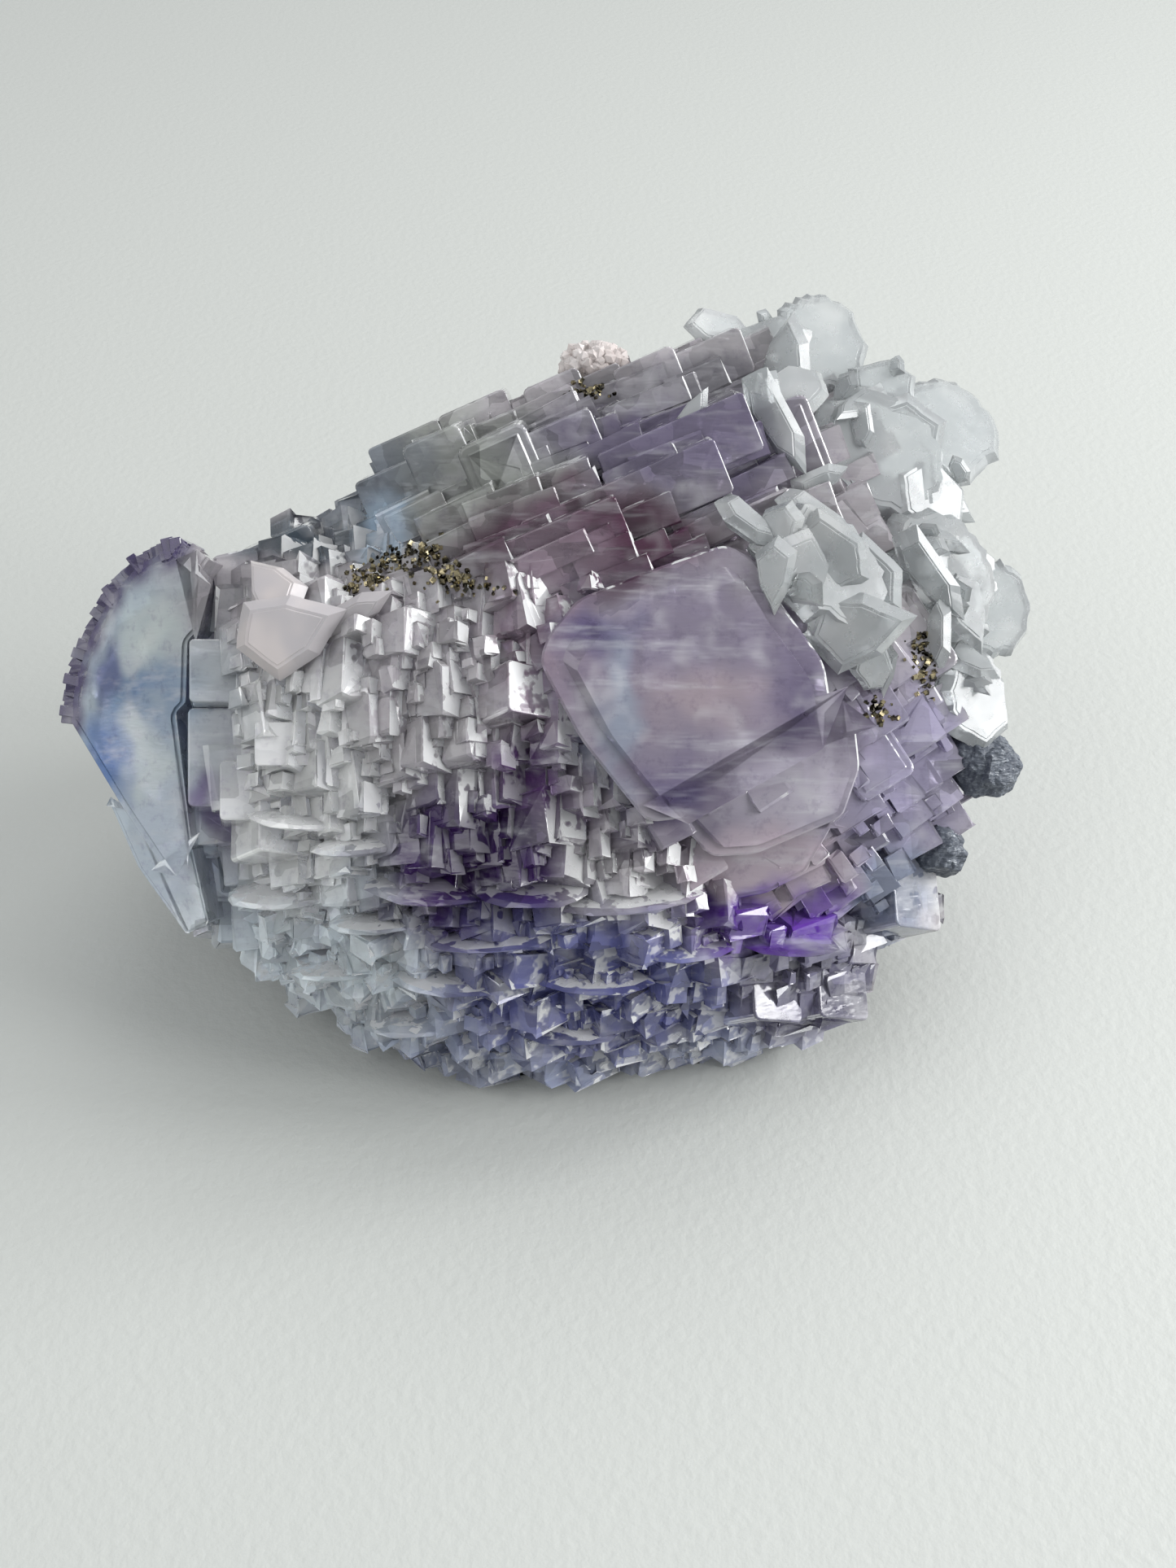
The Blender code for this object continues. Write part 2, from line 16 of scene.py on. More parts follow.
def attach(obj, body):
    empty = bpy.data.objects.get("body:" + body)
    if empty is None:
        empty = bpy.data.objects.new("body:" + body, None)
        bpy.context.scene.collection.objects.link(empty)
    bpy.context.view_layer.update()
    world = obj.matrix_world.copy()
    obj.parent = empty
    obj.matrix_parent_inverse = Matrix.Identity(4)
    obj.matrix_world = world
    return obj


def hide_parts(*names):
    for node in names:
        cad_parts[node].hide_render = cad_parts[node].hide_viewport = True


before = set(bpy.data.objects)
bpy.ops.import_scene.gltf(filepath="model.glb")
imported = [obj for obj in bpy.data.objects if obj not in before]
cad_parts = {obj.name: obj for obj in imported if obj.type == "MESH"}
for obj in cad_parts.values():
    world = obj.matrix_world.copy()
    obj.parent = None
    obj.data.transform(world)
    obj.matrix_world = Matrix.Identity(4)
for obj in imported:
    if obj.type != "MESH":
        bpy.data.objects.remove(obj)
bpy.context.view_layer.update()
print("nodes in the frame:", len(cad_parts))

# %% [markdown]
# The specimen lies back on its flat underside, and the face that it shows leans 45 degrees. It is far easier to
# place a crystal on that face than in the room, so we work in a display frame that lies in the face: s runs
# across it to the right, t runs up it and w comes out of it, in millimetres. One matrix turns this frame into the
# room's, and one point lifts it on to the floor.

# %% The display frame
MM = 0.001
DISPLAY_LEAN = 45.0
MIDDLE = Vector((-0.519, -0.922, 27.0))

lean = math.radians(DISPLAY_LEAN)
DISPLAY = Matrix((
    (1.0, 0.0, 0.0),
    (0.0, math.sin(lean), -math.cos(lean)),
    (0.0, math.cos(lean), math.sin(lean)),
))


def to_part(point):
    """A point of the display frame as a point of the specimen's own frame, both in millimetres."""
    return DISPLAY @ Vector(point) + MIDDLE


print("the display frame's middle is", [round(x, 1) for x in to_part((0, 0, 0))], "mm from the origin")

# %% [markdown]
# The mass of crystals has a smooth envelope: an outline seen from the front, a bulge towards us and a deeper,
# blunter back. Every crystal is measured against it. `depth` says how far inside the envelope a point lies, which
# is all that we need to lay blocks in its skin and none in its heart.

# %% The envelope of the mass
FRONT_BULGE = 22.0
BACK_DEPTH = 32.0
RIM_THICKNESS = 4.0
BACK_WALL = 27.0
BULGE_POWER = 2.4
BACK_POWER = 0.7
OUTLINE = (
    (0, 40.0), (15, 39.0), (30, 38.5), (45, 37.5), (60, 38.0), (75, 31.5), (90, 28.0), (105, 26.5),
    (120, 26.0), (130, 25.5), (138, 24.5), (146, 25.5), (155, 30.0), (163, 36.5), (171, 41.0),
    (180, 43.5), (185, 44.0), (195, 41.5), (215, 39.0), (228, 37.0), (243, 36.5), (257, 36.5),
    (279, 35.5), (292, 37.0), (306, 40.0), (313, 40.5), (320, 38.0), (327, 40.5), (334, 39.0),
    (343, 39.5), (360, 40.0),
)


def outline_radius(angle):
    """The outline's radius at an angle in degrees, between the listed points."""
    angle %= 360
    for (a, near), (b, far) in zip(OUTLINE, OUTLINE[1:]):
        if a <= angle <= b:
            return near + (far - near) * (angle - a) / (b - a)
    return OUTLINE[0][1]


def rim_share(s, t):
    """0 at the middle of the display face and 1 on its outline."""
    return math.hypot(s, t) / outline_radius(math.degrees(math.atan2(t, s)))


def front(s, t):
    """How far out of the display frame the mass reaches at a place on it."""
    return FRONT_BULGE * (1 - min(1.0, rim_share(s, t)) ** BULGE_POWER)


def depth(point):
    """How deep a point of the display frame lies in the envelope; negative outside it."""
    s, t, w = point
    share = rim_share(s, t)
    rear = -RIM_THICKNESS - BACK_DEPTH * max(0.0, 1 - share * share) ** BACK_POWER
    to_wall = BACK_WALL - (DISPLAY @ Vector(point)).y
    side = (1 - share) * outline_radius(math.degrees(math.atan2(t, s)))
    return min(side, 0.85 * (front(s, t) - w), w - rear, to_wall)


print("the middle of the mass is", round(depth((0, 0, 0)), 1), "mm deep")

# %% [markdown]
# Fluorite grows in cubes, and cubes that grow side by side keep nearly the same directions. So the whole look
# comes from a few sets of axes: upright cubes that show two sides of an edge, square windows that face us, leaning
# bricks on the ridge, and the big face at the pointed end. Each zone of the mass gets one set and one block size.
# The real steps are two to three millimetres, and a little unevenness keeps them from looking machined.

# %% Crystal axes and zones


def crystal_axes(yaw, lean_back, roll):
    """The three edge directions of a crystal in the display frame, as a matrix's columns."""
    return (
        Matrix.Rotation(math.radians(roll), 3, "Z")
        @ Matrix.Rotation(math.radians(lean_back), 3, "X")
        @ Matrix.Rotation(math.radians(yaw), 3, "Y")
    )


UPRIGHT = crystal_axes(yaw=49, lean_back=-13, roll=3)
CORNER = crystal_axes(yaw=38, lean_back=-15, roll=2)
LOW = crystal_axes(yaw=36, lean_back=18, roll=-2)
WINDOW = crystal_axes(yaw=6, lean_back=-6, roll=32)
BRICK = crystal_axes(yaw=-6, lean_back=14, roll=24)
SQUARE = crystal_axes(yaw=12, lean_back=-8, roll=2)

# Axes, block size along them in millimetres, and how deep the middle of a block lies as a share of its short side
ZONES = {
    "tip": (SQUARE, (3.4, 4.0, 3.6), 0.46),
    "mosaic": (UPRIGHT, (2.2, 3.2, 2.4), 0.46),
    "window": (WINDOW, (2.9, 2.7, 2.7), 0.46),
    "ridge": (BRICK, (4.6, 1.8, 2.6), 0.46),
    "fringe": (LOW, (3.0, 1.8, 2.3), 0.46),
    "rear": (CORNER, (8.0, 8.0, 8.0), 0.45),
    "rear detail": (CORNER, (3.6, 3.6, 3.6), 0.42),
}
VARIATION = 0.7
LAYERS = 1.0
SPREAD_DEG = {
    "tip": 6, "mosaic": 4, "window": 4, "ridge": 3, "fringe": 8, "rear": 3, "rear detail": 4,
}
WARP = {
    "tip": 0.09, "mosaic": 0.13, "window": 0.05, "ridge": 0.05, "fringe": 0.18, "rear": 0.03,
    "rear detail": 0.05,
}
CRUST_BED = 1.6
TIP_BED = 3.4
CORE_DEPTH = 3.0


def zone_of(s, t, w):
    """The zone that a place on the mass belongs to."""
    if w < -6:
        return "rear"
    ridge_foot = 7.2 + 0.75 * max(0.0, -5 - s) + 0.6 * max(0.0, s - 13)
    if t > ridge_foot:
        return "ridge"
    window_side = -1.4 + (0.8 * (1.4 - t) if t < 1.4 else 1.4 * (t - 1.4))
    if s > window_side and t > -20:
        return "window"
    if s < -26:
        return "tip"
    return "fringe" if t < -20 else "mosaic"


def bed_depth(s, t):
    """How much lower the small crystals stand under the calcite crust and under the face of the pointed end."""
    if s < -29 and t > -14:
        return TIP_BED
    return CRUST_BED if s > 33 - 0.52 * t and t > -1 else 0.0


print("zones:", ", ".join(ZONES))

# %% [markdown]
# A single crystal starts as a cube from bmesh. Its edges are bevelled a little, because edges in nature are worn
# or stepped, and its corners are nudged so that no face is perfectly flat. The nudge is what makes one face flash
# while the next one, that should be parallel to it, stays dark.

# %% One small crystal


def mesh_object(name, bm):
    """An object from a bmesh that is in millimetres; the bmesh is freed."""
    bmesh.ops.scale(bm, vec=(MM, MM, MM), verts=bm.verts)
    mesh = bpy.data.meshes.new(name)
    bm.to_mesh(mesh)
    bm.free()
    obj = bpy.data.objects.new(name, mesh)
    bpy.context.scene.collection.objects.link(obj)
    return obj


def set_down(bm, axes, centre):
    """Turns a bmesh made round its own origin to a crystal's axes, and puts it at a display-frame point."""
    turn = (DISPLAY @ axes).to_4x4()
    bmesh.ops.transform(bm, matrix=Matrix.Translation(to_part(centre)) @ turn, verts=bm.verts)


def small_crystal(rng, centre, size, axes, worn=0.05, warp=0.03):
    """One fluorite cube with worn edges and slightly warped faces."""
    bm = bmesh.new()
    bmesh.ops.create_cube(bm, size=1.0)
    bmesh.ops.scale(bm, vec=size, verts=bm.verts)
    bmesh.ops.bevel(
        bm, geom=bm.edges[:], offset=worn * min(size) * rng.uniform(0.5, 1.5), segments=1,
        profile=0.5, affect="EDGES", material=-1, clamp_overlap=True,
    )
    for v in bm.verts:
        v.co += Vector([rng.uniform(-warp, warp) * min(size) for _ in range(3)])
    set_down(bm, axes, centre)
    return mesh_object("crystal", bm)


def zone_crystals(zone):
    """The small crystals of one zone: a grid along its axes, kept in the skin of the envelope."""
    axes, cell, least_share = ZONES[zone]
    rng = random.Random(zone)
    skin = LAYERS * sum(cell) / 3
    reach = [int(56 / side) for side in cell]
    made = []
    for i in range(-reach[0], reach[0] + 1):
        for j in range(-reach[1], reach[1] + 1):
            for k in range(-reach[2], reach[2] + 1):
                nudge = Vector([rng.uniform(-0.32, 0.32) * side for side in cell])
                grown = [side * (1.0 + rng.uniform(0, VARIATION)) for side in cell]
                turned = [rng.uniform(-SPREAD_DEG[zone], SPREAD_DEG[zone]) for _ in range(3)]
                centre = axes @ (Vector((i * cell[0], j * cell[1], k * cell[2])) + nudge)
                inside = depth(centre)
                least = least_share * min(cell) + bed_depth(centre.x, centre.y)
                if least < inside < skin + least and zone.startswith(zone_of(*centre)):
                    turn = crystal_axes(*turned) @ axes
                    made.append(small_crystal(rng, centre, grown, turn, worn=0.04, warp=WARP[zone]))
    return made


small_crystals = {zone: zone_crystals(zone) for zone in ZONES}
for zone, made in small_crystals.items():
    print(zone, "has", len(made), "small crystals")

# %% [markdown]
# Some crystals are large enough to know one by one, such as the pale bricks along the ridge. They are listed in a
# table. Their edges are rounded in two goes, first the long side edges and then the rim of the face, and the more
# rounded ones get a low plateau, which is a growth step.

# %% The large crystals
LARGE_CRYSTALS = (
    (WINDOW, 26.5, -5.4, -0.6, (5.6, 9.0, 11.0), 0.8),
    (WINDOW, 30.4, 3.4, -0.2, (7.0, 8.4, 11.0), 0.8),
    (BRICK, -3.6, 17.2, 0.3, (6.2, 6.4, 9.0), 0.9),
    (BRICK, -8.9, 17.9, 0.0, (5.4, 6.6, 9.0), 0.7),
    (BRICK, -13.7, 16.4, -0.4, (5.6, 4.6, 7.0), 0.5),
    (BRICK, 1.7, 19.0, 0.2, (6.0, 5.0, 8.0), 0.5),
    (BRICK, -12.6, 20.8, -0.6, (7.0, 4.2, 6.0), 0.4),
    (BRICK, -6.4, 23.6, -0.6, (6.6, 4.0, 6.0), 0.5),
    (BRICK, 0.8, 25.2, -0.6, (5.4, 4.4, 6.0), 0.6),
    (BRICK, 4.4, 25.8, -1.2, (5.2, 3.8, 6.0), 0.4),
    (BRICK, 9.0, 26.4, -0.6, (5.8, 4.6, 6.0), 0.6),
    (BRICK, 14.6, 28.4, -0.6, (6.4, 4.2, 6.0), 0.5),
    (BRICK, 0.4, 9.6, -0.6, (13.0, 4.4, 8.0), 0.4),
    (BRICK, 6.5, 13.4, -0.4, (17.0, 4.6, 9.0), 0.4),
    (BRICK, 11.0, 18.4, -0.2, (13.0, 5.0, 9.0), 0.4),
    (BRICK, 19.0, 18.6, 0.2, (9.0, 8.0, 9.0), 0.8),
    (BRICK, -23.8, 10.6, -0.8, (7.6, 4.4, 7.0), 0.6),
    (SQUARE, -28.0, -6.6, -0.4, (4.6, 8.4, 9.0), 0.5),
    (SQUARE, -27.4, 0.6, -0.8, (5.0, 5.4, 7.0), 0.4),
    (SQUARE, -29.6, 6.6, -1.4, (5.6, 4.6, 7.0), 0.5),
    (SQUARE, -24.6, -9.4, -0.2, (5.4, 5.0, 6.0), 0.4),
    (SQUARE, -21.4, -5.6, 0.4, (4.6, 3.6, 6.0), 0.3),
    (CORNER, -23.0, -12.4, 0.0, (6.2, 6.2, 5.4), 0.5),
    (CORNER, -2.4, -2.0, 1.0, (4.6, 4.2, 4.6), 0.4),
    (CORNER, 31.0, -19.6, 0.4, (6.0, 6.0, 6.2), 0.6),
    (CORNER, 24.6, -27.6, 0.0, (6.2, 6.2, 5.8), 0.6),
    (CORNER, 18.2, -27.6, 0.0, (5.8, 5.8, 6.2), 0.6),
)
PLATEAU_HEIGHT = 0.12
LEAST_ROUNDING = 0.8


def large_crystal(axes, s, t, proud, size, rounding):
    """One large crystal: rounded side edges, a softened rim, and a low plateau on the face that it shows."""
    bm = bmesh.new()
    bmesh.ops.create_cube(bm, size=1.0)
    bmesh.ops.scale(bm, vec=size, verts=bm.verts)
    upright = [e for e in bm.edges if abs(e.verts[0].co.z - e.verts[1].co.z) > size[2] / 2]
    bmesh.ops.bevel(
        bm, geom=upright, offset=rounding, segments=4, profile=0.5, affect="EDGES", material=-1
    )
    rims = [e for e in bm.edges if all(abs(v.co.z) > size[2] / 2 - 1e-4 for v in e.verts)]
    bmesh.ops.bevel(
        bm, geom=rims, offset=0.35 * rounding, segments=3, profile=0.5, affect="EDGES", material=-1
    )
    if rounding >= LEAST_ROUNDING:
        face = max(bm.faces, key=lambda f: f.calc_center_median().z * 100 + f.calc_area())
        for inward, step in ((0.5 * rounding, 0.0), (0.15, PLATEAU_HEIGHT)):
            bmesh.ops.inset_region(bm, faces=[face], thickness=inward, depth=step, use_even_offset=True)
    outward = Vector((0, 0, 1)) if axes is CORNER else axes @ Vector((0, 0, 1))
    centre = Vector((s, t, front(s, t) + proud)) - outward * size[2] / 2
    set_down(bm, axes, centre)
    return mesh_object("large crystal", bm)


large_crystals = [large_crystal(*each) for each in LARGE_CRYSTALS]
print(len(large_crystals), "large crystals, the largest", LARGE_CRYSTALS[0][4], "mm")

# %% [markdown]
# Four faces are too irregular for a box: the two windows and the pink foot below them, and the cloudy face at the
# pointed end, straight below, where it broke along a flat, and rounded above. Each outline is a ring of corners,
# raised into a slab and tilted. Two insets then leave the growth step that follows the edge of every real window,
# wide on the upper left and narrow on the lower right. Thin ribs stand side by side along the pointed end's rim.

# %% The great faces
WINDOW_OUTLINE = (
    (-0.4, 0.6), (2.8, -5.4), (8.0, -11.9), (10.8, -11.6), (18.6, -6.0), (22.8, -3.0), (22.2, 0.8),
    (18.8, 5.4), (16.8, 8.8), (14.4, 10.2), (9.4, 8.4), (2.6, 5.6), (0.2, 2.6),
)
SECOND_OUTLINE = (
    (9.4, -10.6), (13.4, -14.8), (17.0, -14.6), (24.2, -11.6), (25.6, -7.6), (25.0, -2.6), (18.0, -4.0),
)
FOOT_OUTLINE = ((10.4, -11.9), (12.2, -16.6), (14.9, -18.7), (18.4, -18.0), (21.6, -16.2), (24.2, -11.4))
TIP_FOOT_OUTLINE = ((-39.8, -10.4), (-37.0, -16.4), (-32.2, -22.2), (-29.6, -21.0), (-31.4, -11.6))
TIP_OUTLINE = (
    (-43.2, -3.2), (-42.6, 0.4), (-41.0, 4.2), (-38.6, 7.6), (-35.4, 10.2), (-31.6, 11.2), (-29.0, 9.4),
    (-29.4, 4.0), (-30.4, 3.2), (-30.6, -2.0), (-31.6, -2.8), (-30.0, -14.0), (-33.0, -16.0),
    (-37.4, -10.8),
)
# Outline, middle, height there, slope along s and t, thickness, rounding, width and height of the growth step
GREAT_FACES = {
    "window": (WINDOW_OUTLINE, (12.2, -0.7), 21.7, (-0.13, -0.07), 15.0, 0.8, 1.5, 0.5),
    "second window": (SECOND_OUTLINE, (19.4, -8.6), 17.6, (-0.10, 0.05), 12.0, 0.6, 0.9, 0.4),
    "foot": (FOOT_OUTLINE, (18.0, -14.6), 14.6, (-0.06, 0.20), 10.0, 0.4, 0.6, 0.15),
    "tip": (TIP_OUTLINE, (-36.0, 0.0), 8.6, (0.72, 0.0), 9.0, 0.25, 0.5, 0.3),
    "tip foot": (TIP_FOOT_OUTLINE, (-34.0, -16.0), 6.2, (0.8, 0.3), 8.0, 0.2, 0.25, 0.1),
}
STEP_SHIFT = (0.55, -0.6)
RIBS = 44
RIB_SIZE = (1.0, 1.7, 5.0)


def great_face(name):
    """One tilted slab with rounded side edges and a growth step on its face."""
    outline, middle, level, slope, thickness, rounding, band, step = GREAT_FACES[name]
    bm = bmesh.new()
    face = bm.faces.new([bm.verts.new((s, t, 0)) for s, t in outline])
    raised = bmesh.ops.extrude_face_region(bm, geom=[face])["geom"]
    face = next(item for item in raised if isinstance(item, bmesh.types.BMFace))
    bmesh.ops.translate(bm, vec=(0, 0, thickness), verts=face.verts[:])
    bmesh.ops.recalc_face_normals(bm, faces=bm.faces)
    sides = [e for e in bm.edges if abs(e.verts[0].co.z - e.verts[1].co.z) > thickness / 2]
    bmesh.ops.bevel(bm, geom=sides, offset=rounding, segments=3, profile=0.5, affect="EDGES", material=-1)
    face = max(bm.faces, key=lambda f: f.calc_center_median().z)
    bmesh.ops.inset_region(bm, faces=[face], thickness=0.25 * rounding, depth=0.3 * rounding)
    bmesh.ops.inset_region(bm, faces=[face], thickness=band, depth=0.0, use_even_offset=True)
    bmesh.ops.inset_region(bm, faces=[face], thickness=0.6 * step, depth=step, use_even_offset=True)
    bmesh.ops.translate(bm, vec=(STEP_SHIFT[0] * band, STEP_SHIFT[1] * band, 0), verts=face.verts[:])
    for v in bm.verts:
        out = slope[0] * (v.co.x - middle[0]) + slope[1] * (v.co.y - middle[1])
        v.co.z += out + level - thickness
    set_down(bm, Matrix.Identity(3), (0, 0, 0))
    return mesh_object(name, bm)


def tip_ribs():
    """Thin ribs side by side along the round rim of the pointed end."""
    rng = random.Random("ribs")
    rim = [Vector(corner) for corner in TIP_OUTLINE[:7]]
    made = []
    for n in range(RIBS):
        along = (n + 0.5) / RIBS * (len(rim) - 1)
        near, far = rim[int(along)], rim[int(along) + 1]
        s, t = near.lerp(far, along - int(along))
        heading = math.degrees(math.atan2(far.y - near.y, far.x - near.x))
        turned = crystal_axes(rng.uniform(-4, 4), rng.uniform(-4, 4), heading + rng.uniform(-8, 8))
        size = [side * rng.uniform(0.8, 1.2) for side in RIB_SIZE]
        w = 0.72 * (s + 36.0) + 8.6 - RIB_SIZE[2] / 2 + rng.uniform(-0.5, 0.1)
        made.append(small_crystal(rng, (s, t, w), size, turned))
    return made


great_faces = [great_face(name) for name in GREAT_FACES]
ribs = tip_ribs()
print(len(great_faces), "great faces and", len(ribs), "ribs")

# %% [markdown]
# Between the cubes of the middle sit much smaller ones, about a millimetre across. They break up the even pattern
# that a grid leaves.

# %% Tiny crystals
TINY_CRYSTALS = 500
TINY_SIDES = (0.7, 1.6)
TINY_REACH = (-36.0, 36.0, -34.0, 12.0)


def tiny_crystals():
    """Small cubes sunk in the front of the envelope."""
    rng = random.Random("tiny")
    made = []
    while len(made) < TINY_CRYSTALS:
        s, t = rng.uniform(*TINY_REACH[:2]), rng.uniform(*TINY_REACH[2:])
        if rim_share(s, t) > 0.97:
            continue
        w = front(s, t) + rng.uniform(-1.6, 0.1)
        zone = zone_of(s, t, w)
        if zone in ("tip", "ridge") or (zone == "window" and rim_share(s, t) < 0.62):
            continue
        side = rng.uniform(*TINY_SIDES)
        size = (side * rng.uniform(0.8, 1.5), side * rng.uniform(0.8, 1.8), side * rng.uniform(0.8, 1.5))
        turned = crystal_axes(*[rng.uniform(-6, 6) for _ in range(3)]) @ ZONES[zone][0]
        made.append(small_crystal(rng, (s, t, w), size, turned, warp=0.12))
    return made


tiny = tiny_crystals()
print(len(tiny), "tiny crystals")

# %% [markdown]
# Low down, thin shelves stand out between the cubes where growth ran ahead along one layer. Each is a flattened
# disc with a sharp rim: a lens seen edge on. They catch the light from above as pale horizontal strokes.

# %% Thin shelves between the lower cubes
SHELVES = (
    (-9.4, -17.4, 5.4, 0.6), (-15.6, -14.0, 3.6, 0.5), (-20.4, -11.8, 4.4, 0.5), (-1.0, -17.6, 4.6, 0.5),
    (6.6, -18.0, 6.4, 0.6), (-4.6, -21.8, 5.0, 0.5), (-14.0, -20.4, 4.6, 0.5), (-23.0, -18.4, 4.8, 0.6),
    (11.0, -22.6, 4.6, 0.5), (-8.6, -25.8, 4.8, 0.5), (3.6, -25.4, 5.4, 0.5), (20.4, -22.4, 4.4, 0.5),
    (-18.0, -25.0, 4.6, 0.5), (1.6, -30.4, 4.6, 0.5), (-12.0, -30.0, 4.6, 0.5),
)
SHELF_STANDS_OUT = 2.3


def shelf(rng, s, t, half_length, half_height):
    """One lens-shaped shelf, seen edge on."""
    bm = bmesh.new()
    bmesh.ops.create_uvsphere(bm, u_segments=14, v_segments=6, radius=1.0)
    for v in bm.verts:
        v.co += Vector([rng.uniform(-0.06, 0.06) for _ in range(3)])
    half_depth = 0.55 * half_length
    bmesh.ops.scale(bm, vec=(half_length, half_depth, half_height), verts=bm.verts)
    axes = crystal_axes(0, -66 + rng.uniform(-6, 6), rng.uniform(-5, 5))
    centre = Vector((s, t, front(s, t) + SHELF_STANDS_OUT - half_depth))
    set_down(bm, axes, centre)
    return mesh_object("shelf", bm)


shelf_rng = random.Random("shelves")
shelves = [shelf(shelf_rng, *each) for each in SHELVES]
print(len(shelves), "shelves")

# %% [markdown]
# All those crystals overlap. Left so, light would bend at every hidden wall inside, and the mesh would be no good
# to print. A Boolean union with the Manifold solver joins thousands of closed shapes in seconds, and what is left
# inside is dropped by keeping only the shell with the largest area.

# %% Join shapes in one shell


def outer_shell(obj):
    """Keeps the largest closed shell of an object's mesh."""
    bm = bmesh.new()
    bm.from_mesh(obj.data)
    waiting = set(bm.faces)
    shells = []
    while waiting:
        shell = {waiting.pop()}
        edge_of_shell = list(shell)
        while edge_of_shell:
            face = edge_of_shell.pop()
            near = {other for edge in face.edges for other in edge.link_faces} & waiting
            waiting -= near
            shell |= near
            edge_of_shell.extend(near)
        shells.append(shell)
    largest = max(shells, key=lambda shell: sum(face.calc_area() for face in shell))
    loose = [face for shell in shells if shell is not largest for face in shell]
    bmesh.ops.delete(bm, geom=loose, context="FACES")
    bm.to_mesh(obj.data)
    bm.free()


def combine(obj, others, operation):
    """Applies a Boolean of obj with several closed objects, removes them and keeps obj's outer shell."""
    tools = bpy.data.collections.new("tools")
    bpy.context.scene.collection.children.link(tools)
    for other in others:
        tools.objects.link(other)
    step = obj.modifiers.new(operation.lower(), "BOOLEAN")
    step.operation = operation
    step.solver = "MANIFOLD"
    step.operand_type = "COLLECTION"
    step.collection = tools
    graph = bpy.context.evaluated_depsgraph_get()
    made = bpy.data.meshes.new_from_object(obj.evaluated_get(graph))
    obj.modifiers.clear()
    obj.data = made
    for other in others:
        bpy.data.objects.remove(other)
    bpy.data.collections.remove(tools)
    outer_shell(obj)
    return obj


def triangles(obj):
    """How many triangles an object's mesh has."""
    return sum(len(face.vertices) - 2 for face in obj.data.polygons)


def smooth_core(below):
    """The inside of the mass: a ball whose points are pushed out to a set depth below the envelope."""
    bm = bmesh.new()
    bmesh.ops.create_icosphere(bm, subdivisions=4, radius=1.0)
    heart = Vector((0.0, 0.0, -6.0))
    for v in bm.verts:
        near, far = 0.0, 60.0
        while far - near > 0.05:
            reach = (near + far) / 2
            if depth(heart + reach * v.co) > below:
                near = reach
            else:
                far = reach
        v.co = to_part(heart + near * v.co)
    return mesh_object("fluorite_crystals", bm)


fluorite = smooth_core(CORE_DEPTH)
blocks = [made for zone in ZONES for made in small_crystals[zone]]
combine(fluorite, blocks + large_crystals + great_faces + ribs + tiny + shelves, "UNION")
print("the joined mass has", triangles(fluorite), "triangles")

# %% [markdown]
# Underneath, the specimen rests on a flat. A large block below the floor level cuts it off, exactly at height
# zero, so that the dressed specimen stands where the plain one does.

# %% Cut the mass flat underneath
ground = bmesh.new()
bmesh.ops.create_cube(ground, size=1.0)
bmesh.ops.scale(ground, vec=(200, 200, 40), verts=ground.verts)
bmesh.ops.translate(ground, vec=(0, 0, -20), verts=ground.verts)
combine(fluorite, [mesh_object("ground", ground)], "DIFFERENCE")
print("after the flat cut:", triangles(fluorite), "triangles")

# %% [markdown]
# Calcite grows here as flat blades with sloping rims. A blade begins as a ring of corner points and one face. We
# cut its rim into short lengths and move them in and out a little, which gives the nicked edges of the real
# blades, then extrude the face twice: out to the rim's sharp edge half-way up, and in again to the upper face. A
# last low inset makes a growth step. Blades of one cluster are joined in one shell.

# %% Calcite blades
SHAPES = {
    "disk": (
        (1.0, 0.1), (0.82, 0.56), (0.5, 0.9), (0.05, 1.0), (-0.5, 0.88), (-0.9, 0.5), (-1.0, -0.08),
        (-0.78, -0.66), (-0.3, -0.97), (0.3, -0.94), (0.84, -0.52),
    ),
    "plate": ((1.0, 0.0), (0.5, 0.9), (-0.7, 1.0), (-1.0, -0.2), (-0.35, -1.0), (0.7, -0.75)),
    "kite": ((1.0, 0.0), (0.2, 0.75), (-0.6, 1.0), (-1.0, 0.1), (-0.5, -0.95), (0.3, -0.7)),
    "spear": ((1.0, -0.1), (0.45, 0.8), (-0.9, 1.0), (-1.0, -0.4), (-0.5, -1.0), (0.5, -0.8)),
}
NICKED = {"disk": 0.045, "plate": 0.02, "kite": 0.012, "spear": 0.012}
FLAT_SHARE = {"disk": 0.84, "plate": 0.8, "kite": 0.74, "spear": 0.7}
THINNED = {"disk": 0.7, "plate": 0.55, "kite": 0.6, "spear": 0.6}

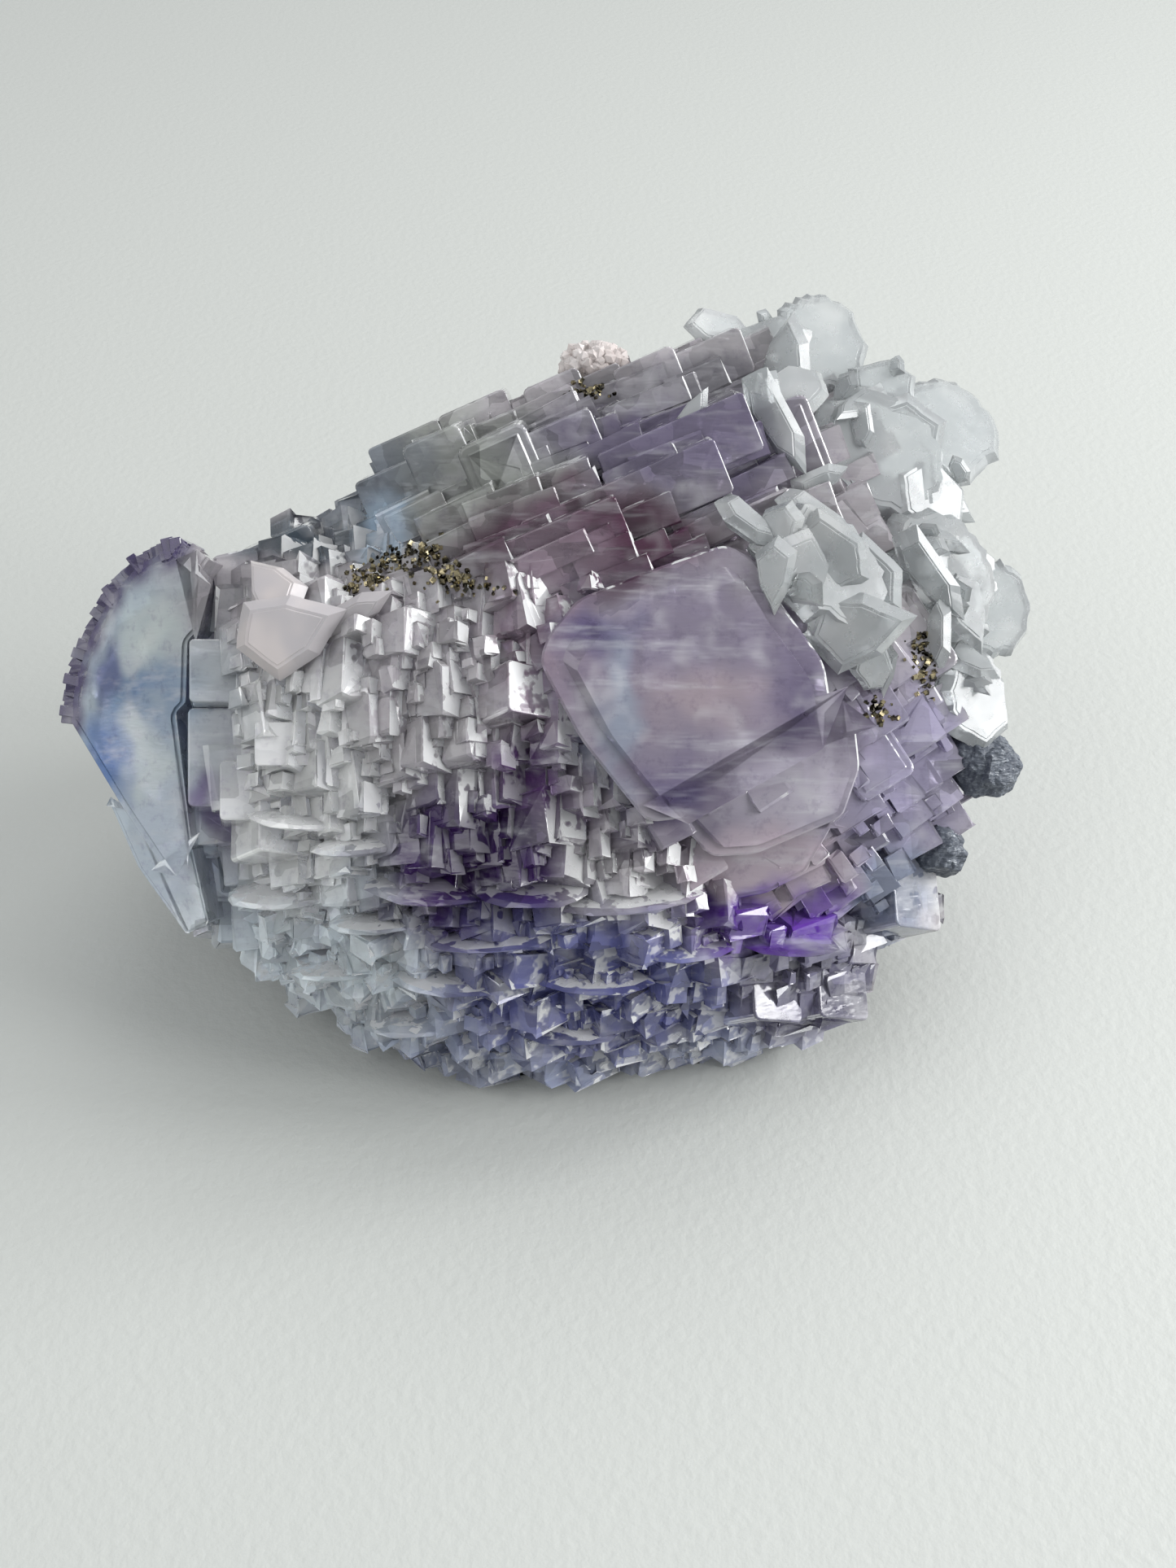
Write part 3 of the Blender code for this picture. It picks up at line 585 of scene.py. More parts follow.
# Shape, s, t, how proud it stands, half-length, half-width, thickness, then how far its face tips, towards which
# way, and which way its length points
CALCITE = {
    "calcite_ridge": (
        ("disk", 24.6, 31.3, 0.6, 5.2, 4.8, 2.6, 16, 40, 75),
        ("kite", 21.2, 29.4, 3.2, 3.6, 2.6, 3.0, 34, 200, 80),
        ("plate", 15.4, 32.6, 1.0, 3.3, 2.2, 2.4, 30, 80, -12),
        ("plate", 19.6, 30.6, 0.4, 4.4, 3.0, 3.0, 20, 120, 20),
    ),
    "calcite_long_blade": (
        ("spear", 19.3, 21.3, 3.2, 5.0, 1.7, 2.2, 26, 200, -59),
        ("plate", 20.8, 24.2, 4.0, 3.4, 2.8, 3.6, 24, 100, 40),
    ),
    "calcite_upper": (
        ("disk", 29.4, 20.4, 0.0, 7.2, 5.8, 6.0, 12, 35, -50),
        ("plate", 24.2, 24.6, 4.0, 3.6, 3.2, 3.0, 26, 130, 35),
        ("kite", 24.2, 20.6, 4.2, 3.2, 2.1, 2.4, 28, 260, -82),
        ("plate", 29.6, 23.6, 2.8, 3.8, 2.6, 2.6, 24, 330, -45),
        ("plate", 28.4, 17.8, 3.8, 5.4, 4.2, 2.8, 8, 200, 75),
        ("plate", 30.8, 22.0, 3.0, 5.2, 4.0, 2.8, 12, 300, 20),
        ("kite", 34.4, 17.6, 2.8, 5.2, 3.8, 2.8, 20, 20, -30),
        ("plate", 30.0, 27.0, 2.8, 3.4, 2.6, 2.4, 16, 60, 20),
        ("disk", 35.6, 23.2, 0.4, 6.3, 5.6, 2.8, 20, 45, 10),
        ("plate", 32.6, 21.6, 3.2, 2.6, 1.3, 2.0, 54, 210, -65),
        ("plate", 34.0, 16.6, 3.0, 4.2, 3.6, 2.6, 22, 20, -40),
    ),
    "calcite_splinter": (
        ("spear", 22.9, 16.7, 2.0, 2.6, 1.2, 2.2, 30, 290, 28),
    ),
    "calcite_right": (
        ("disk", 34.2, 9.6, 0.6, 6.6, 5.4, 5.6, 14, 15, -60),
        ("plate", 29.8, 12.2, 4.0, 4.4, 3.4, 2.6, 14, 190, 110),
        ("kite", 36.6, 6.4, 3.6, 4.2, 2.6, 2.4, 18, 30, -70),
        ("spear", 33.8, 12.6, 3.8, 3.4, 1.3, 2.0, 50, 80, -32),
        ("spear", 33.0, 9.0, 4.0, 4.8, 1.7, 2.4, 30, 215, -52),
        ("plate", 37.8, 10.2, 2.4, 3.8, 3.4, 2.6, 26, 25, -30),
        ("disk", 40.6, 7.0, 0.8, 4.6, 3.8, 2.8, 16, 340, 80),
        ("spear", 33.6, 4.2, 3.0, 3.6, 1.3, 2.4, 40, 180, 85),
    ),
    "calcite_front": (
        ("disk", 22.6, 8.4, 1.4, 6.8, 4.2, 7.0, 18, 20, -50),
        ("spear", 16.2, 11.9, 2.6, 3.2, 1.4, 2.6, 36, 60, -42),
        ("plate", 18.6, 11.0, 3.2, 3.0, 2.1, 3.0, 30, 190, 65),
        ("kite", 18.2, 7.6, 3.6, 3.2, 1.8, 2.8, 26, 200, -92),
        ("plate", 20.4, 8.4, 3.8, 3.2, 2.3, 2.8, 30, 320, -50),
        ("spear", 22.4, 12.4, 3.2, 4.2, 1.8, 3.2, 42, 60, -35),
        ("plate", 22.8, 9.6, 4.0, 3.8, 2.8, 3.0, 16, 240, -30),
        ("plate", 26.3, 8.0, 3.2, 3.8, 2.8, 3.2, 18, 200, -40),
        ("kite", 25.4, 3.8, 3.6, 4.8, 3.6, 4.0, 18, 230, 12),
        ("plate", 26.8, 0.9, 1.8, 2.4, 1.8, 2.6, 26, 300, -60),
    ),
    "calcite_lower": (
        ("disk", 37.6, -0.4, 0.0, 4.0, 3.4, 4.0, 28, 0, 60),
        ("plate", 36.2, -0.4, 2.8, 3.6, 3.2, 3.2, 14, 330, 60),
        ("plate", 38.6, -1.9, 1.6, 4.2, 3.2, 3.2, 22, 20, 82),
        ("spear", 37.6, 2.0, 1.8, 3.0, 1.7, 2.2, 34, 70, -30),
    ),
    "calcite_chip": (
        ("kite", 12.2, 21.8, 1.8, 2.4, 1.2, 2.0, 20, 150, 62),
    ),
    "calcite_left": (
        ("kite", -22.4, 7.0, 2.0, 3.8, 2.5, 3.4, 24, 130, 130),
        ("kite", -20.4, 3.4, 1.4, 5.0, 3.6, 4.4, 12, 220, 20),
        ("spear", -15.6, 4.8, 0.2, 4.2, 1.3, 2.6, 30, 250, 32),
    ),
}


def blade(rng, shape, s, t, proud, half_length, half_width, thickness, tip, towards, turn, rim_cuts=3):
    """One calcite blade; without rim cuts it is the plain form that cuts its seat."""
    height = THINNED[shape] * thickness / 2
    flat = FLAT_SHARE[shape]
    bm = bmesh.new()
    corners = [bm.verts.new((x * half_length, y * half_width, -height)) for x, y in SHAPES[shape]]
    lowest = bm.faces.new(corners)
    if rim_cuts:
        bmesh.ops.subdivide_edges(bm, edges=bm.edges[:], cuts=rim_cuts)
        for v in bm.verts:
            nick = 1 + rng.uniform(-NICKED[shape], NICKED[shape])
            v.co = Vector((v.co.x * nick, v.co.y * nick, v.co.z))
    bmesh.ops.scale(bm, vec=(flat, flat, 1), verts=bm.verts)
    face = lowest
    for spread in (1 / flat, flat):
        raised = bmesh.ops.extrude_face_region(bm, geom=[face])["geom"]
        if face is not lowest:
            bmesh.ops.delete(bm, geom=[face], context="FACES_ONLY")
        face = next(item for item in raised if isinstance(item, bmesh.types.BMFace))
        bmesh.ops.translate(bm, vec=(0, 0, height), verts=face.verts[:])
        bmesh.ops.scale(bm, vec=(spread, spread, 1), verts=face.verts[:])
    bmesh.ops.recalc_face_normals(bm, faces=bm.faces)
    if rim_cuts:
        step = 0.07 * min(half_length, half_width)
        bmesh.ops.inset_region(bm, faces=[face], thickness=step, depth=0.0, use_even_offset=True)
        bmesh.ops.inset_region(bm, faces=[face], thickness=0.06, depth=0.08, use_even_offset=True)
    axes = (
        Matrix.Rotation(math.radians(towards), 3, "Z")
        @ Matrix.Rotation(math.radians(tip), 3, "Y")
        @ Matrix.Rotation(math.radians(turn - towards), 3, "Z")
    )
    set_down(bm, axes, (s, t, front(s, t) + proud))
    return mesh_object("blade", bm)


SHARDS = {
    "calcite_ridge": 3, "calcite_upper": 12, "calcite_right": 12, "calcite_front": 14, "calcite_lower": 4,
    "calcite_long_blade": 2,
}


def shards(name):
    """Small thin blades between the large ones of a cluster, as lines of the same kind of table."""
    rng = random.Random(name + " shards")
    made = []
    for _ in range(SHARDS.get(name, 0)):
        shape, s, t, proud, half_length, half_width = rng.choice(CALCITE[name])[:6]
        angle = rng.uniform(0, 2 * math.pi)
        s += 0.8 * half_width * math.cos(angle)
        t += 0.8 * half_width * math.sin(angle)
        half = rng.uniform(1.2, 2.8)
        made.append((
            rng.choice(("kite", "spear", "plate")), s, t, proud + rng.uniform(-0.6, 0.9), half,
            half * rng.uniform(0.4, 0.65), rng.uniform(0.7, 1.3), rng.uniform(25, 70), rng.uniform(0, 360),
            rng.uniform(0, 360),
        ))
    return made


def calcite_cluster(name, rim_cuts=3):
    """The blades of one cluster in one shell."""
    rng = random.Random(name)
    blades = [blade(rng, *each, rim_cuts=rim_cuts) for each in (*CALCITE[name], *shards(name))]
    first = blades[0]
    if len(blades) > 1:
        combine(first, blades[1:], "UNION")
    first.name = name + "_blades"
    return first


calcite = {name: calcite_cluster(name) for name in CALCITE}
for name, cluster in calcite.items():
    print(name, "has", len(CALCITE[name]), "blades,", triangles(cluster), "triangles")

# %% [markdown]
# The blades stand in the fluorite, so the fluorite has to make room for them: two clear solids in one place would
# bend light twice. The same blades, without their nicks, cut their seats out of the mass, one cluster after the
# other, and the mesh stays closed at each cut.

# %% Seats for the blades
for name in CALCITE:
    combine(fluorite, [calcite_cluster(name, rim_cuts=0)], "DIFFERENCE")
print("after the seats:", triangles(fluorite), "triangles")

# %% [markdown]
# Pyrite is scattered along a few lines as tiny brassy cubes, hundreds of them, each turned its own way. We drop
# each one on to the fluorite with a ray cast along the view into the display face, half sunk, and keep every crust
# in a single mesh.

# %% Crusts of pyrite cubes
PYRITE = {
    "pyrite_left": (320, 1.0, ((-15.4, 6.6), (-14.6, 8.4), (-13.0, 10.0), (-9.6, 9.8), (-8.4, 7.6), (-4.6, 6.4))),
    "pyrite_top": (46, 0.7, ((2.4, 26.0), (4.2, 25.6))),
    "pyrite_right": (90, 0.7, ((32.6, 3.9), (31.8, 1.4), (32.6, -1.2))),
    "pyrite_lower": (40, 0.6, ((27.4, -1.8), (28.4, -3.6))),
}
GRAIN_SIDES = (0.2, 0.5)


def surface_of(obj, s, t):
    """Where a line into the display face at s, t meets an object, or nothing."""
    inwards = DISPLAY @ Vector((0, 0, -1))
    found, place, _, _ = obj.ray_cast(to_part((s, t, 60.0)) * MM, inwards)
    return place / MM if found else None


def pyrite_crust(name):
    """One crust: small cubes round a line of places."""
    count, spread, line = PYRITE[name]
    rng = random.Random(name)
    bm = bmesh.new()
    for _ in range(count):
        leg = rng.randrange(len(line) - 1)
        s, t = Vector(line[leg]).lerp(Vector(line[leg + 1]), rng.random())
        place = surface_of(fluorite, s + rng.gauss(0, spread), t + rng.gauss(0, 0.6 * spread))
        if place is None:
            continue
        side = rng.uniform(*GRAIN_SIDES) * rng.uniform(0.7, 1.0)
        turn = crystal_axes(*[rng.uniform(0, 90) for _ in range(3)]).to_4x4()
        shape = Matrix.Diagonal((side, side * rng.uniform(0.7, 1.1), side * rng.uniform(0.7, 1.2), 1))
        bmesh.ops.create_cube(bm, size=1.0, matrix=Matrix.Translation(place) @ turn @ shape)
    return mesh_object(name + "_cubes", bm)


pyrite = {name: pyrite_crust(name) for name in PYRITE}
for name, crust in pyrite.items():
    print(name, "has", len(crust.data.polygons) // 6, "cubes")

# %% [markdown]
# The little pink ball at the top edge is granular calcite: many rounded grains grown together. The dark lumps are
# the rock that the crystals grew on, rough all over. Both begin as balls. The ball of grains is a crowd of small
# warped ones, and the rock is a few large ones, finely divided and pushed in and out with a noise function.

# %% The rosette and the rock
ROSETTE = (150, 0.62, (4.1, 29.0, 2.4), (3.0, 2.0, 2.4))
ROCK_FLATS = 12
ROCKS = {
    "rock_right": (5, 2.6, (39.2, -6.8, 0.6), (2.2, 2.6, 3.0)),
    "rock_lower": (4, 1.8, (35.4, -15.2, 2.4), (1.2, 1.8, 1.6)),
}


def rosette():
    """Rounded grains packed in a ball, in one shell."""
    count, radius, middle, reach = ROSETTE
    rng = random.Random("grains")
    grains = []
    for n in range(count):
        away = Vector([rng.gauss(0, 1) for _ in range(3)]).normalized() * rng.uniform(0.55, 1.0) ** 0.5
        centre = Vector([m + a * r for m, a, r in zip(middle, away, reach)])
        bm = bmesh.new()
        bmesh.ops.create_icosphere(bm, subdivisions=1, radius=radius * rng.uniform(0.7, 1.25))
        for v in bm.verts:
            v.co *= rng.uniform(0.85, 1.15)
        set_down(bm, crystal_axes(*[rng.uniform(0, 90) for _ in range(3)]), centre)
        grains.append(mesh_object("grain", bm))
    bm = bmesh.new()
    bmesh.ops.create_icosphere(bm, subdivisions=2, radius=1.0)
    bmesh.ops.scale(bm, vec=[0.8 * r for r in reach], verts=bm.verts)
    set_down(bm, Matrix.Identity(3), middle)
    return combine(mesh_object("calcite_rosette_grains", bm), grains, "UNION")


def rock(name):
    """A lump of rough balls in one shell; the plain lump has the same balls."""
    count, radius, middle, reach = ROCKS[name]
    rng = random.Random(name)
    balls = []
    for n in range(count):
        out = 0 if n == 0 else rng.uniform(0.5, 1)
        away = Vector([rng.gauss(0, 1) for _ in range(3)]).normalized() * out
        centre = Vector([m + a * r for m, a, r in zip(middle, away, reach)])
        share = 1.5 if n == 0 else rng.uniform(0.75, 1.2)
        bm = bmesh.new()
        bmesh.ops.create_icosphere(bm, subdivisions=5, radius=radius * share)
        for cut in range(ROCK_FLATS):
            flat = Vector([rng.gauss(0, 1) for _ in range(3)]).normalized()
            level = radius * share * rng.uniform(0.62, 0.86)
            for v in bm.verts:
                v.co -= flat * max(0.0, v.co.dot(flat) - level)
        for v in bm.verts:
            place = v.co + Vector((7.0 * n, 0, 0))
            v.co *= 1 + 0.10 * noise.noise(place * 0.7) + 0.05 * noise.noise(place * 2.3)
        set_down(bm, crystal_axes(*[rng.uniform(0, 90) for _ in range(3)]), centre)
        balls.append(mesh_object("ball", bm))
    lump = combine(balls[0], balls[1:], "UNION")
    lump.name = name + "_lump"
    return lump


rosette_ball = rosette()
rocks = {name: rock(name) for name in ROCKS}
print("rosette:", triangles(rosette_ball), "triangles")
for name, lump in rocks.items():
    print(name, "has", triangles(lump), "triangles")

# %% [markdown]
# Now the finishes. Everything about colour is measured in the display frame too, so that a zone of colour can be
# placed with the same s, t and w as a crystal. A Mapping node does for a material what `to_part` does for a mesh:
# it turns Object coordinates back by 45 degrees and scales metres to millimetres.

# %% Helpers for node trees


class Tree:
    """A short way to add nodes to a node tree and to link them."""

    def __init__(self, tree):
        self.tree = tree

    def add(self, kind, inputs=None, **settings):
        """A node of a kind; inputs are values or the outputs to link from, by socket name or number."""
        node = self.tree.nodes.new(kind)
        for key, value in settings.items():
            setattr(node, key, value)
        for key, value in (inputs or {}).items():
            socket = node.inputs[key]
            if isinstance(value, bpy.types.NodeSocket):
                self.tree.links.new(value, socket)
            else:
                socket.default_value = value
        return node

    def mix(self, mask, low, high):
        """Between two colours by a mask."""
        node = self.add("ShaderNodeMix", {0: mask, 6: low, 7: high}, data_type="RGBA")
        return node.outputs[2]

    def ramp(self, value, low, high, to_low=0.0, to_high=1.0):
        """A value between two limits as a smooth share."""
        inputs = {"Value": value, "From Min": low, "From Max": high, "To Min": to_low, "To Max": to_high}
        return self.add("ShaderNodeMapRange", inputs, interpolation_type="SMOOTHSTEP").outputs[0]

    def math(self, operation, a, b=0.0):
        """One sum of two values."""
        return self.add("ShaderNodeMath", {0: a, 1: b}, operation=operation).outputs[0]

    def noise(self, place, scale, detail=3.0, roughness=0.55):
        """A soft noise between 0 and 1, its scale per millimetre."""
        inputs = {"Vector": place, "Scale": scale, "Detail": detail, "Roughness": roughness}
        return self.add("ShaderNodeTexNoise", inputs).outputs[0]


def new_material(name, **plain_values):
    """A material with a Principled BSDF whose named sockets get plain values."""
    made = bpy.data.materials.new(name)
    made.use_nodes = True
    surface = made.node_tree.nodes["Principled BSDF"]
    for key, value in plain_values.items():
        surface.inputs[key.replace("_", " ")].default_value = value
    return made, Tree(made.node_tree), surface


def display_place(tree):
    """Object coordinates as a place in the display frame, in millimetres."""
    where = tree.add("ShaderNodeTexCoord").outputs["Object"]
    back = DISPLAY.transposed()
    inputs = {
        "Vector": where, "Location": -(back @ MIDDLE), "Rotation": back.to_euler(),
        "Scale": (1 / MM, 1 / MM, 1 / MM),
    }
    return tree.add("ShaderNodeMapping", inputs).outputs[0]


print("a place on the specimen turns back by", [round(math.degrees(a)) for a in DISPLAY.transposed().to_euler()])

# %% [markdown]
# Three effects are shared by several finishes, so each is a node group, built once. A colour patch is a soft blob
# with its own middle and reach, and it gives a mask. Etched faces give a normal: the fine hatch that growth and a
# little acid leave on a crystal. Clouds give a mask of milky veils inside a clear crystal.

# %% Shared groups


def new_group(name, inputs, outputs):
    """An empty node group with named sockets, its tree helper, and its two end nodes."""
    group = bpy.data.node_groups.new(name, "ShaderNodeTree")
    for label, kind, value in inputs:
        socket = group.interface.new_socket(label, in_out="INPUT", socket_type=kind)
        if value is not None:
            socket.default_value = value
    for label, kind in outputs:
        group.interface.new_socket(label, in_out="OUTPUT", socket_type=kind)
    tree = Tree(group)
    return group, tree, tree.add("NodeGroupInput").outputs, tree.add("NodeGroupOutput").inputs


VECTOR, FLOAT = "NodeSocketVector", "NodeSocketFloat"

PATCH, tree, given, gives = new_group(
    "colour patch",
    [("Place", VECTOR, None), ("Middle", VECTOR, (0, 0, 0)), ("Reach", VECTOR, (5, 5, 30)), ("Softness", FLOAT, 0.4)],
    [("Mask", FLOAT)],
)
offset = tree.add("ShaderNodeVectorMath", {0: given["Place"], 1: given["Middle"]}, operation="SUBTRACT").outputs[0]
share = tree.add("ShaderNodeVectorMath", {0: offset, 1: given["Reach"]}, operation="DIVIDE").outputs[0]
length = tree.add("ShaderNodeVectorMath", {0: share}, operation="LENGTH").outputs["Value"]
start = tree.math("SUBTRACT", 1.0, given["Softness"])
end = tree.math("ADD", 1.0, given["Softness"])
tree.tree.links.new(tree.ramp(length, start, end, 1.0, 0.0), gives["Mask"])

ETCHED, tree, given, gives = new_group(
    "etched faces",
    [("Place", VECTOR, None), ("Grain", FLOAT, 1.0), ("Depth", FLOAT, 0.1)],
    [("Normal", VECTOR)],
)
hatch_place = tree.add(
    "ShaderNodeVectorMath", {0: given["Place"], 1: (0.5, 2.2, 1.0)}, operation="MULTIPLY"
).outputs[0]
hatch = tree.noise(hatch_place, given["Grain"], 1.0)
bump = tree.add("ShaderNodeBump", {"Strength": 1.0, "Height": hatch})
tree.tree.links.new(tree.math("MULTIPLY", given["Depth"], MM), bump.inputs["Distance"])
tree.tree.links.new(bump.outputs[0], gives["Normal"])

CLOUDS, tree, given, gives = new_group(
    "milky clouds",
    [("Place", VECTOR, None), ("Size", FLOAT, 0.1), ("Amount", FLOAT, 0.5)],
    [("Mask", FLOAT)],
)
billows = tree.noise(given["Place"], given["Size"], 2.0, 0.6)
low = tree.math("SUBTRACT", 0.75, tree.math("MULTIPLY", given["Amount"], 0.4))
high = tree.math("ADD", low, 0.25)
tree.tree.links.new(tree.ramp(billows, low, high), gives["Mask"])
print("groups:", [group.name for group in bpy.data.node_groups])

# %% [markdown]
# Fluorite is clear, so its finish is a glass with a plain transmission, the index of refraction of fluorite, 1.434,
# and a plain absorption inside it. What changes over the specimen is its tint: blue-green at the pointed end, grey
# and clear in the middle, nearly black purple where the crystal is deepest, burgundy under the ridge, lilac in the
# windows and a strong violet low on the right. Each is one patch with a middle and a reach. The patches are
# warped with noise, because zoning in a crystal is never a neat ellipse, and every small cube gets its own shade
# from a cell pattern turned to the cubes' axes.
# On top of the tint, faces that look towards the window on the right and up towards the sky are painted near-white in
# ragged patches. This is a painted highlight in place of the reflections and light that those faces catch.

# %% Fluorite finish
CLEAR_GREY = (0.46, 0.41, 0.45, 1)
CUBE_PATCHES = (
    ("grey back", (0.0, 0.0, -40.0), (90.0, 90.0, 32.0), 0.3, (0.34, 0.31, 0.36)),
    ("purple in the back", (8.0, -4.0, -30.0), (16.0, 12.0, 18.0), 0.5, (0.14, 0.10, 0.24)),
    ("low fringe", (0.0, -33.0, 4.0), (26.0, 7.0, 30.0), 0.4, (0.38, 0.42, 0.56)),
    ("pale fringe", (-21.0, -22.0, 8.0), (15.0, 11.0, 30.0), 0.5, (0.86, 0.95, 1.00)),
    ("cream blocks", (-22.0, -8.0, 12.0), (8.0, 11.0, 30.0), 0.4, (0.98, 0.99, 0.98)),
    ("dark left of the ridge", (-22.0, 12.6, 4.0), (7.0, 3.0, 30.0), 0.4, (0.10, 0.13, 0.16)),
    ("grey-green ridge", (-7.5, 18.0, 8.0), (11.0, 7.0, 30.0), 0.35, (0.40, 0.42, 0.39)),
    ("dark end of the ridge", (-17.0, 18.0, 4.0), (5.6, 5.0, 30.0), 0.5, (0.24, 0.27, 0.31)),
    ("blue brick", (-14.0, 13.6, 8.0), (3.0, 3.4, 30.0), 0.4, (0.52, 0.66, 0.80)),
    ("purple slabs", (11.0, 19.5, 8.0), (12.0, 6.5, 30.0), 0.35, (0.20, 0.17, 0.27)),
    ("grey on the purple slabs", (12.0, 26.0, 8.0), (10.0, 2.6, 30.0), 0.5, (0.30, 0.29, 0.32)),
    ("burgundy", (3.0, 10.2, 12.0), (11.0, 4.4, 30.0), 0.35, (0.075, 0.010, 0.045)),
    ("right lilac", (30.0, -9.0, 8.0), (8.0, 10.0, 30.0), 0.5, (0.42, 0.39, 0.54)),
    ("pale right cube", (31.0, -18.6, 8.0), (4.6, 4.6, 30.0), 0.4, (0.30, 0.34, 0.45)),
    ("mauve squares", (0.6, 2.4, 18.0), (4.4, 9.0, 30.0), 0.5, (0.32, 0.24, 0.30)),
    ("deep purple", (-6.0, -16.4, 14.0), (8.4, 7.0, 30.0), 0.4, (0.055, 0.02, 0.125)),
    ("purple squares", (-1.0, -8.4, 16.0), (4.0, 4.0, 30.0), 0.6, (0.12, 0.05, 0.18)),
    ("blue-violet fringe", (4.0, -26.0, 8.0), (13.0, 8.0, 30.0), 0.45, (0.15, 0.16, 0.38)),
    ("strong violet", (19.4, -20.0, 10.0), (6.8, 3.6, 20.0), 0.4, (0.15, 0.05, 0.42)),
    ("right lower blocks", (23.0, -27.0, 6.0), (7.0, 5.0, 30.0), 0.4, (0.19, 0.18, 0.27)),
)
SMOOTH_PATCHES = (
    ("second face", (-27.6, -3.0, 4.0), (3.2, 9.0, 24.0), 0.4, (0.56, 0.60, 0.62)),
    ("purple corner of the second face", (-28.4, -10.4, 4.0), (2.0, 2.6, 24.0), 0.6, (0.24, 0.20, 0.36)),
    ("tip", (-36.4, -3.0, 4.0), (7.6, 14.0, 24.0), 0.3, (0.52, 0.62, 0.69)),
    ("foot of the tip", (-35.4, -15.4, 4.0), (5.4, 6.4, 30.0), 0.35, (0.66, 0.75, 0.84)),
    ("blue in the tip", (-35.0, -0.6, 4.0), (4.6, 3.0, 12.0), 0.7, (0.18, 0.31, 0.52)),
    ("blue low in the tip", (-38.4, -6.4, 4.0), (3.0, 3.0, 12.0), 0.7, (0.14, 0.26, 0.56)),
    ("navy in the tip", (-39.4, 1.6, 4.0), (2.0, 3.4, 12.0), 0.7, (0.14, 0.18, 0.38)),
    ("pale top of the tip", (-33.6, 4.4, 4.0), (4.0, 2.6, 12.0), 0.6, (0.84, 0.93, 0.90)),
    ("pale middle of the tip", (-34.6, -7.0, 4.0), (2.4, 3.0, 12.0), 0.6, (0.78, 0.87, 0.86)),
    ("lilac windows", (14.0, -3.0, 14.0), (14.0, 12.0, 24.0), 0.25, (0.27, 0.235, 0.32)),
    ("dark corner of the window", (4.0, 3.4, 14.0), (2.8, 2.8, 24.0), 0.6, (0.11, 0.085, 0.20)),
    ("dark foot of the window", (9.6, -9.4, 14.0), (2.2, 2.0, 24.0), 0.6, (0.13, 0.10, 0.23)),
    ("dark side of the window", (20.4, -1.6, 14.0), (2.2, 3.6, 24.0), 0.6, (0.17, 0.14, 0.24)),
    ("blue-grey band", (5.6, -3.0, 14.0), (1.4, 6.0, 24.0), 0.6, (0.33, 0.37, 0.47)),
    ("pink in the window", (12.6, -2.6, 14.0), (4.6, 3.0, 24.0), 0.7, (0.42, 0.345, 0.39)),
    ("pale second window", (19.6, -8.6, 14.0), (5.4, 3.6, 30.0), 0.5, (0.55, 0.51, 0.60)),
    ("pink foot", (17.6, -15.0, 12.0), (7.4, 3.6, 30.0), 0.35, (0.57, 0.48, 0.55)),
)
RIM_TINT = (0.07, 0.05, 0.16)
# Where the painted highlight is weaker: middle, reach, and the share of it that is left
WEAKER_HIGHLIGHT_PLACES = (
    ("clear lower right", (25.0, -23.0, 4.0), (11.0, 10.0, 30.0), 0.1),
    ("clear violet", (19.4, -20.0, 10.0), (6.0, 3.6, 30.0), 0.3),
    ("clear deep purple", (-6.0, -16.6, 14.0), (7.6, 5.6, 30.0), 0.3),
    ("clear squares", (-1.0, -8.4, 16.0), (3.4, 4.0, 30.0), 0.5),
    ("clear back", (0.0, 0.0, -34.0), (90.0, 90.0, 30.0), 0.25),
)
# The near-white of the painted highlight on faces that look towards the window and the sky
PAINTED_HIGHLIGHT_TINT = (0.98, 0.99, 0.99, 1)
FLUORITE_IOR = 1.434
FLUORITE_TRANSMISSION = 0.48
ABSORPTION_COLOUR = (0.74, 0.70, 0.82, 1)
ABSORPTION_DENSITY = 14.0


def patched(tree, place, colour, middle, reach, softness, tint, label):
    """A colour with one patch of another tint laid over it."""
    patch = tree.add("ShaderNodeGroup", node_tree=PATCH, label=label)
    tree.tree.links.new(place, patch.inputs["Place"])
    patch.inputs["Middle"].default_value = middle
    patch.inputs["Reach"].default_value = reach
    patch.inputs["Softness"].default_value = softness
    return tree.mix(patch.outputs[0], colour, (*tint, 1))


def painted_highlight_mask(tree, place, direction, coverage):
    """Ragged patches of painted highlight on the faces that look one way in the display frame, in place of the light
    and reflections that those faces catch.
    """
    facing = tree.add("ShaderNodeTexCoord").outputs["Normal"]
    along = tree.add(
        "ShaderNodeVectorMath", {0: facing, 1: DISPLAY @ Vector(direction)}, operation="DOT_PRODUCT"
    ).outputs["Value"]
    ragged = tree.math("ADD", along, tree.math("MULTIPLY", tree.noise(place, 0.55, 2.0, 0.65), 0.35))
    edge = 1.20 - 0.09 * coverage
    return tree.ramp(ragged, edge, edge + 0.03)


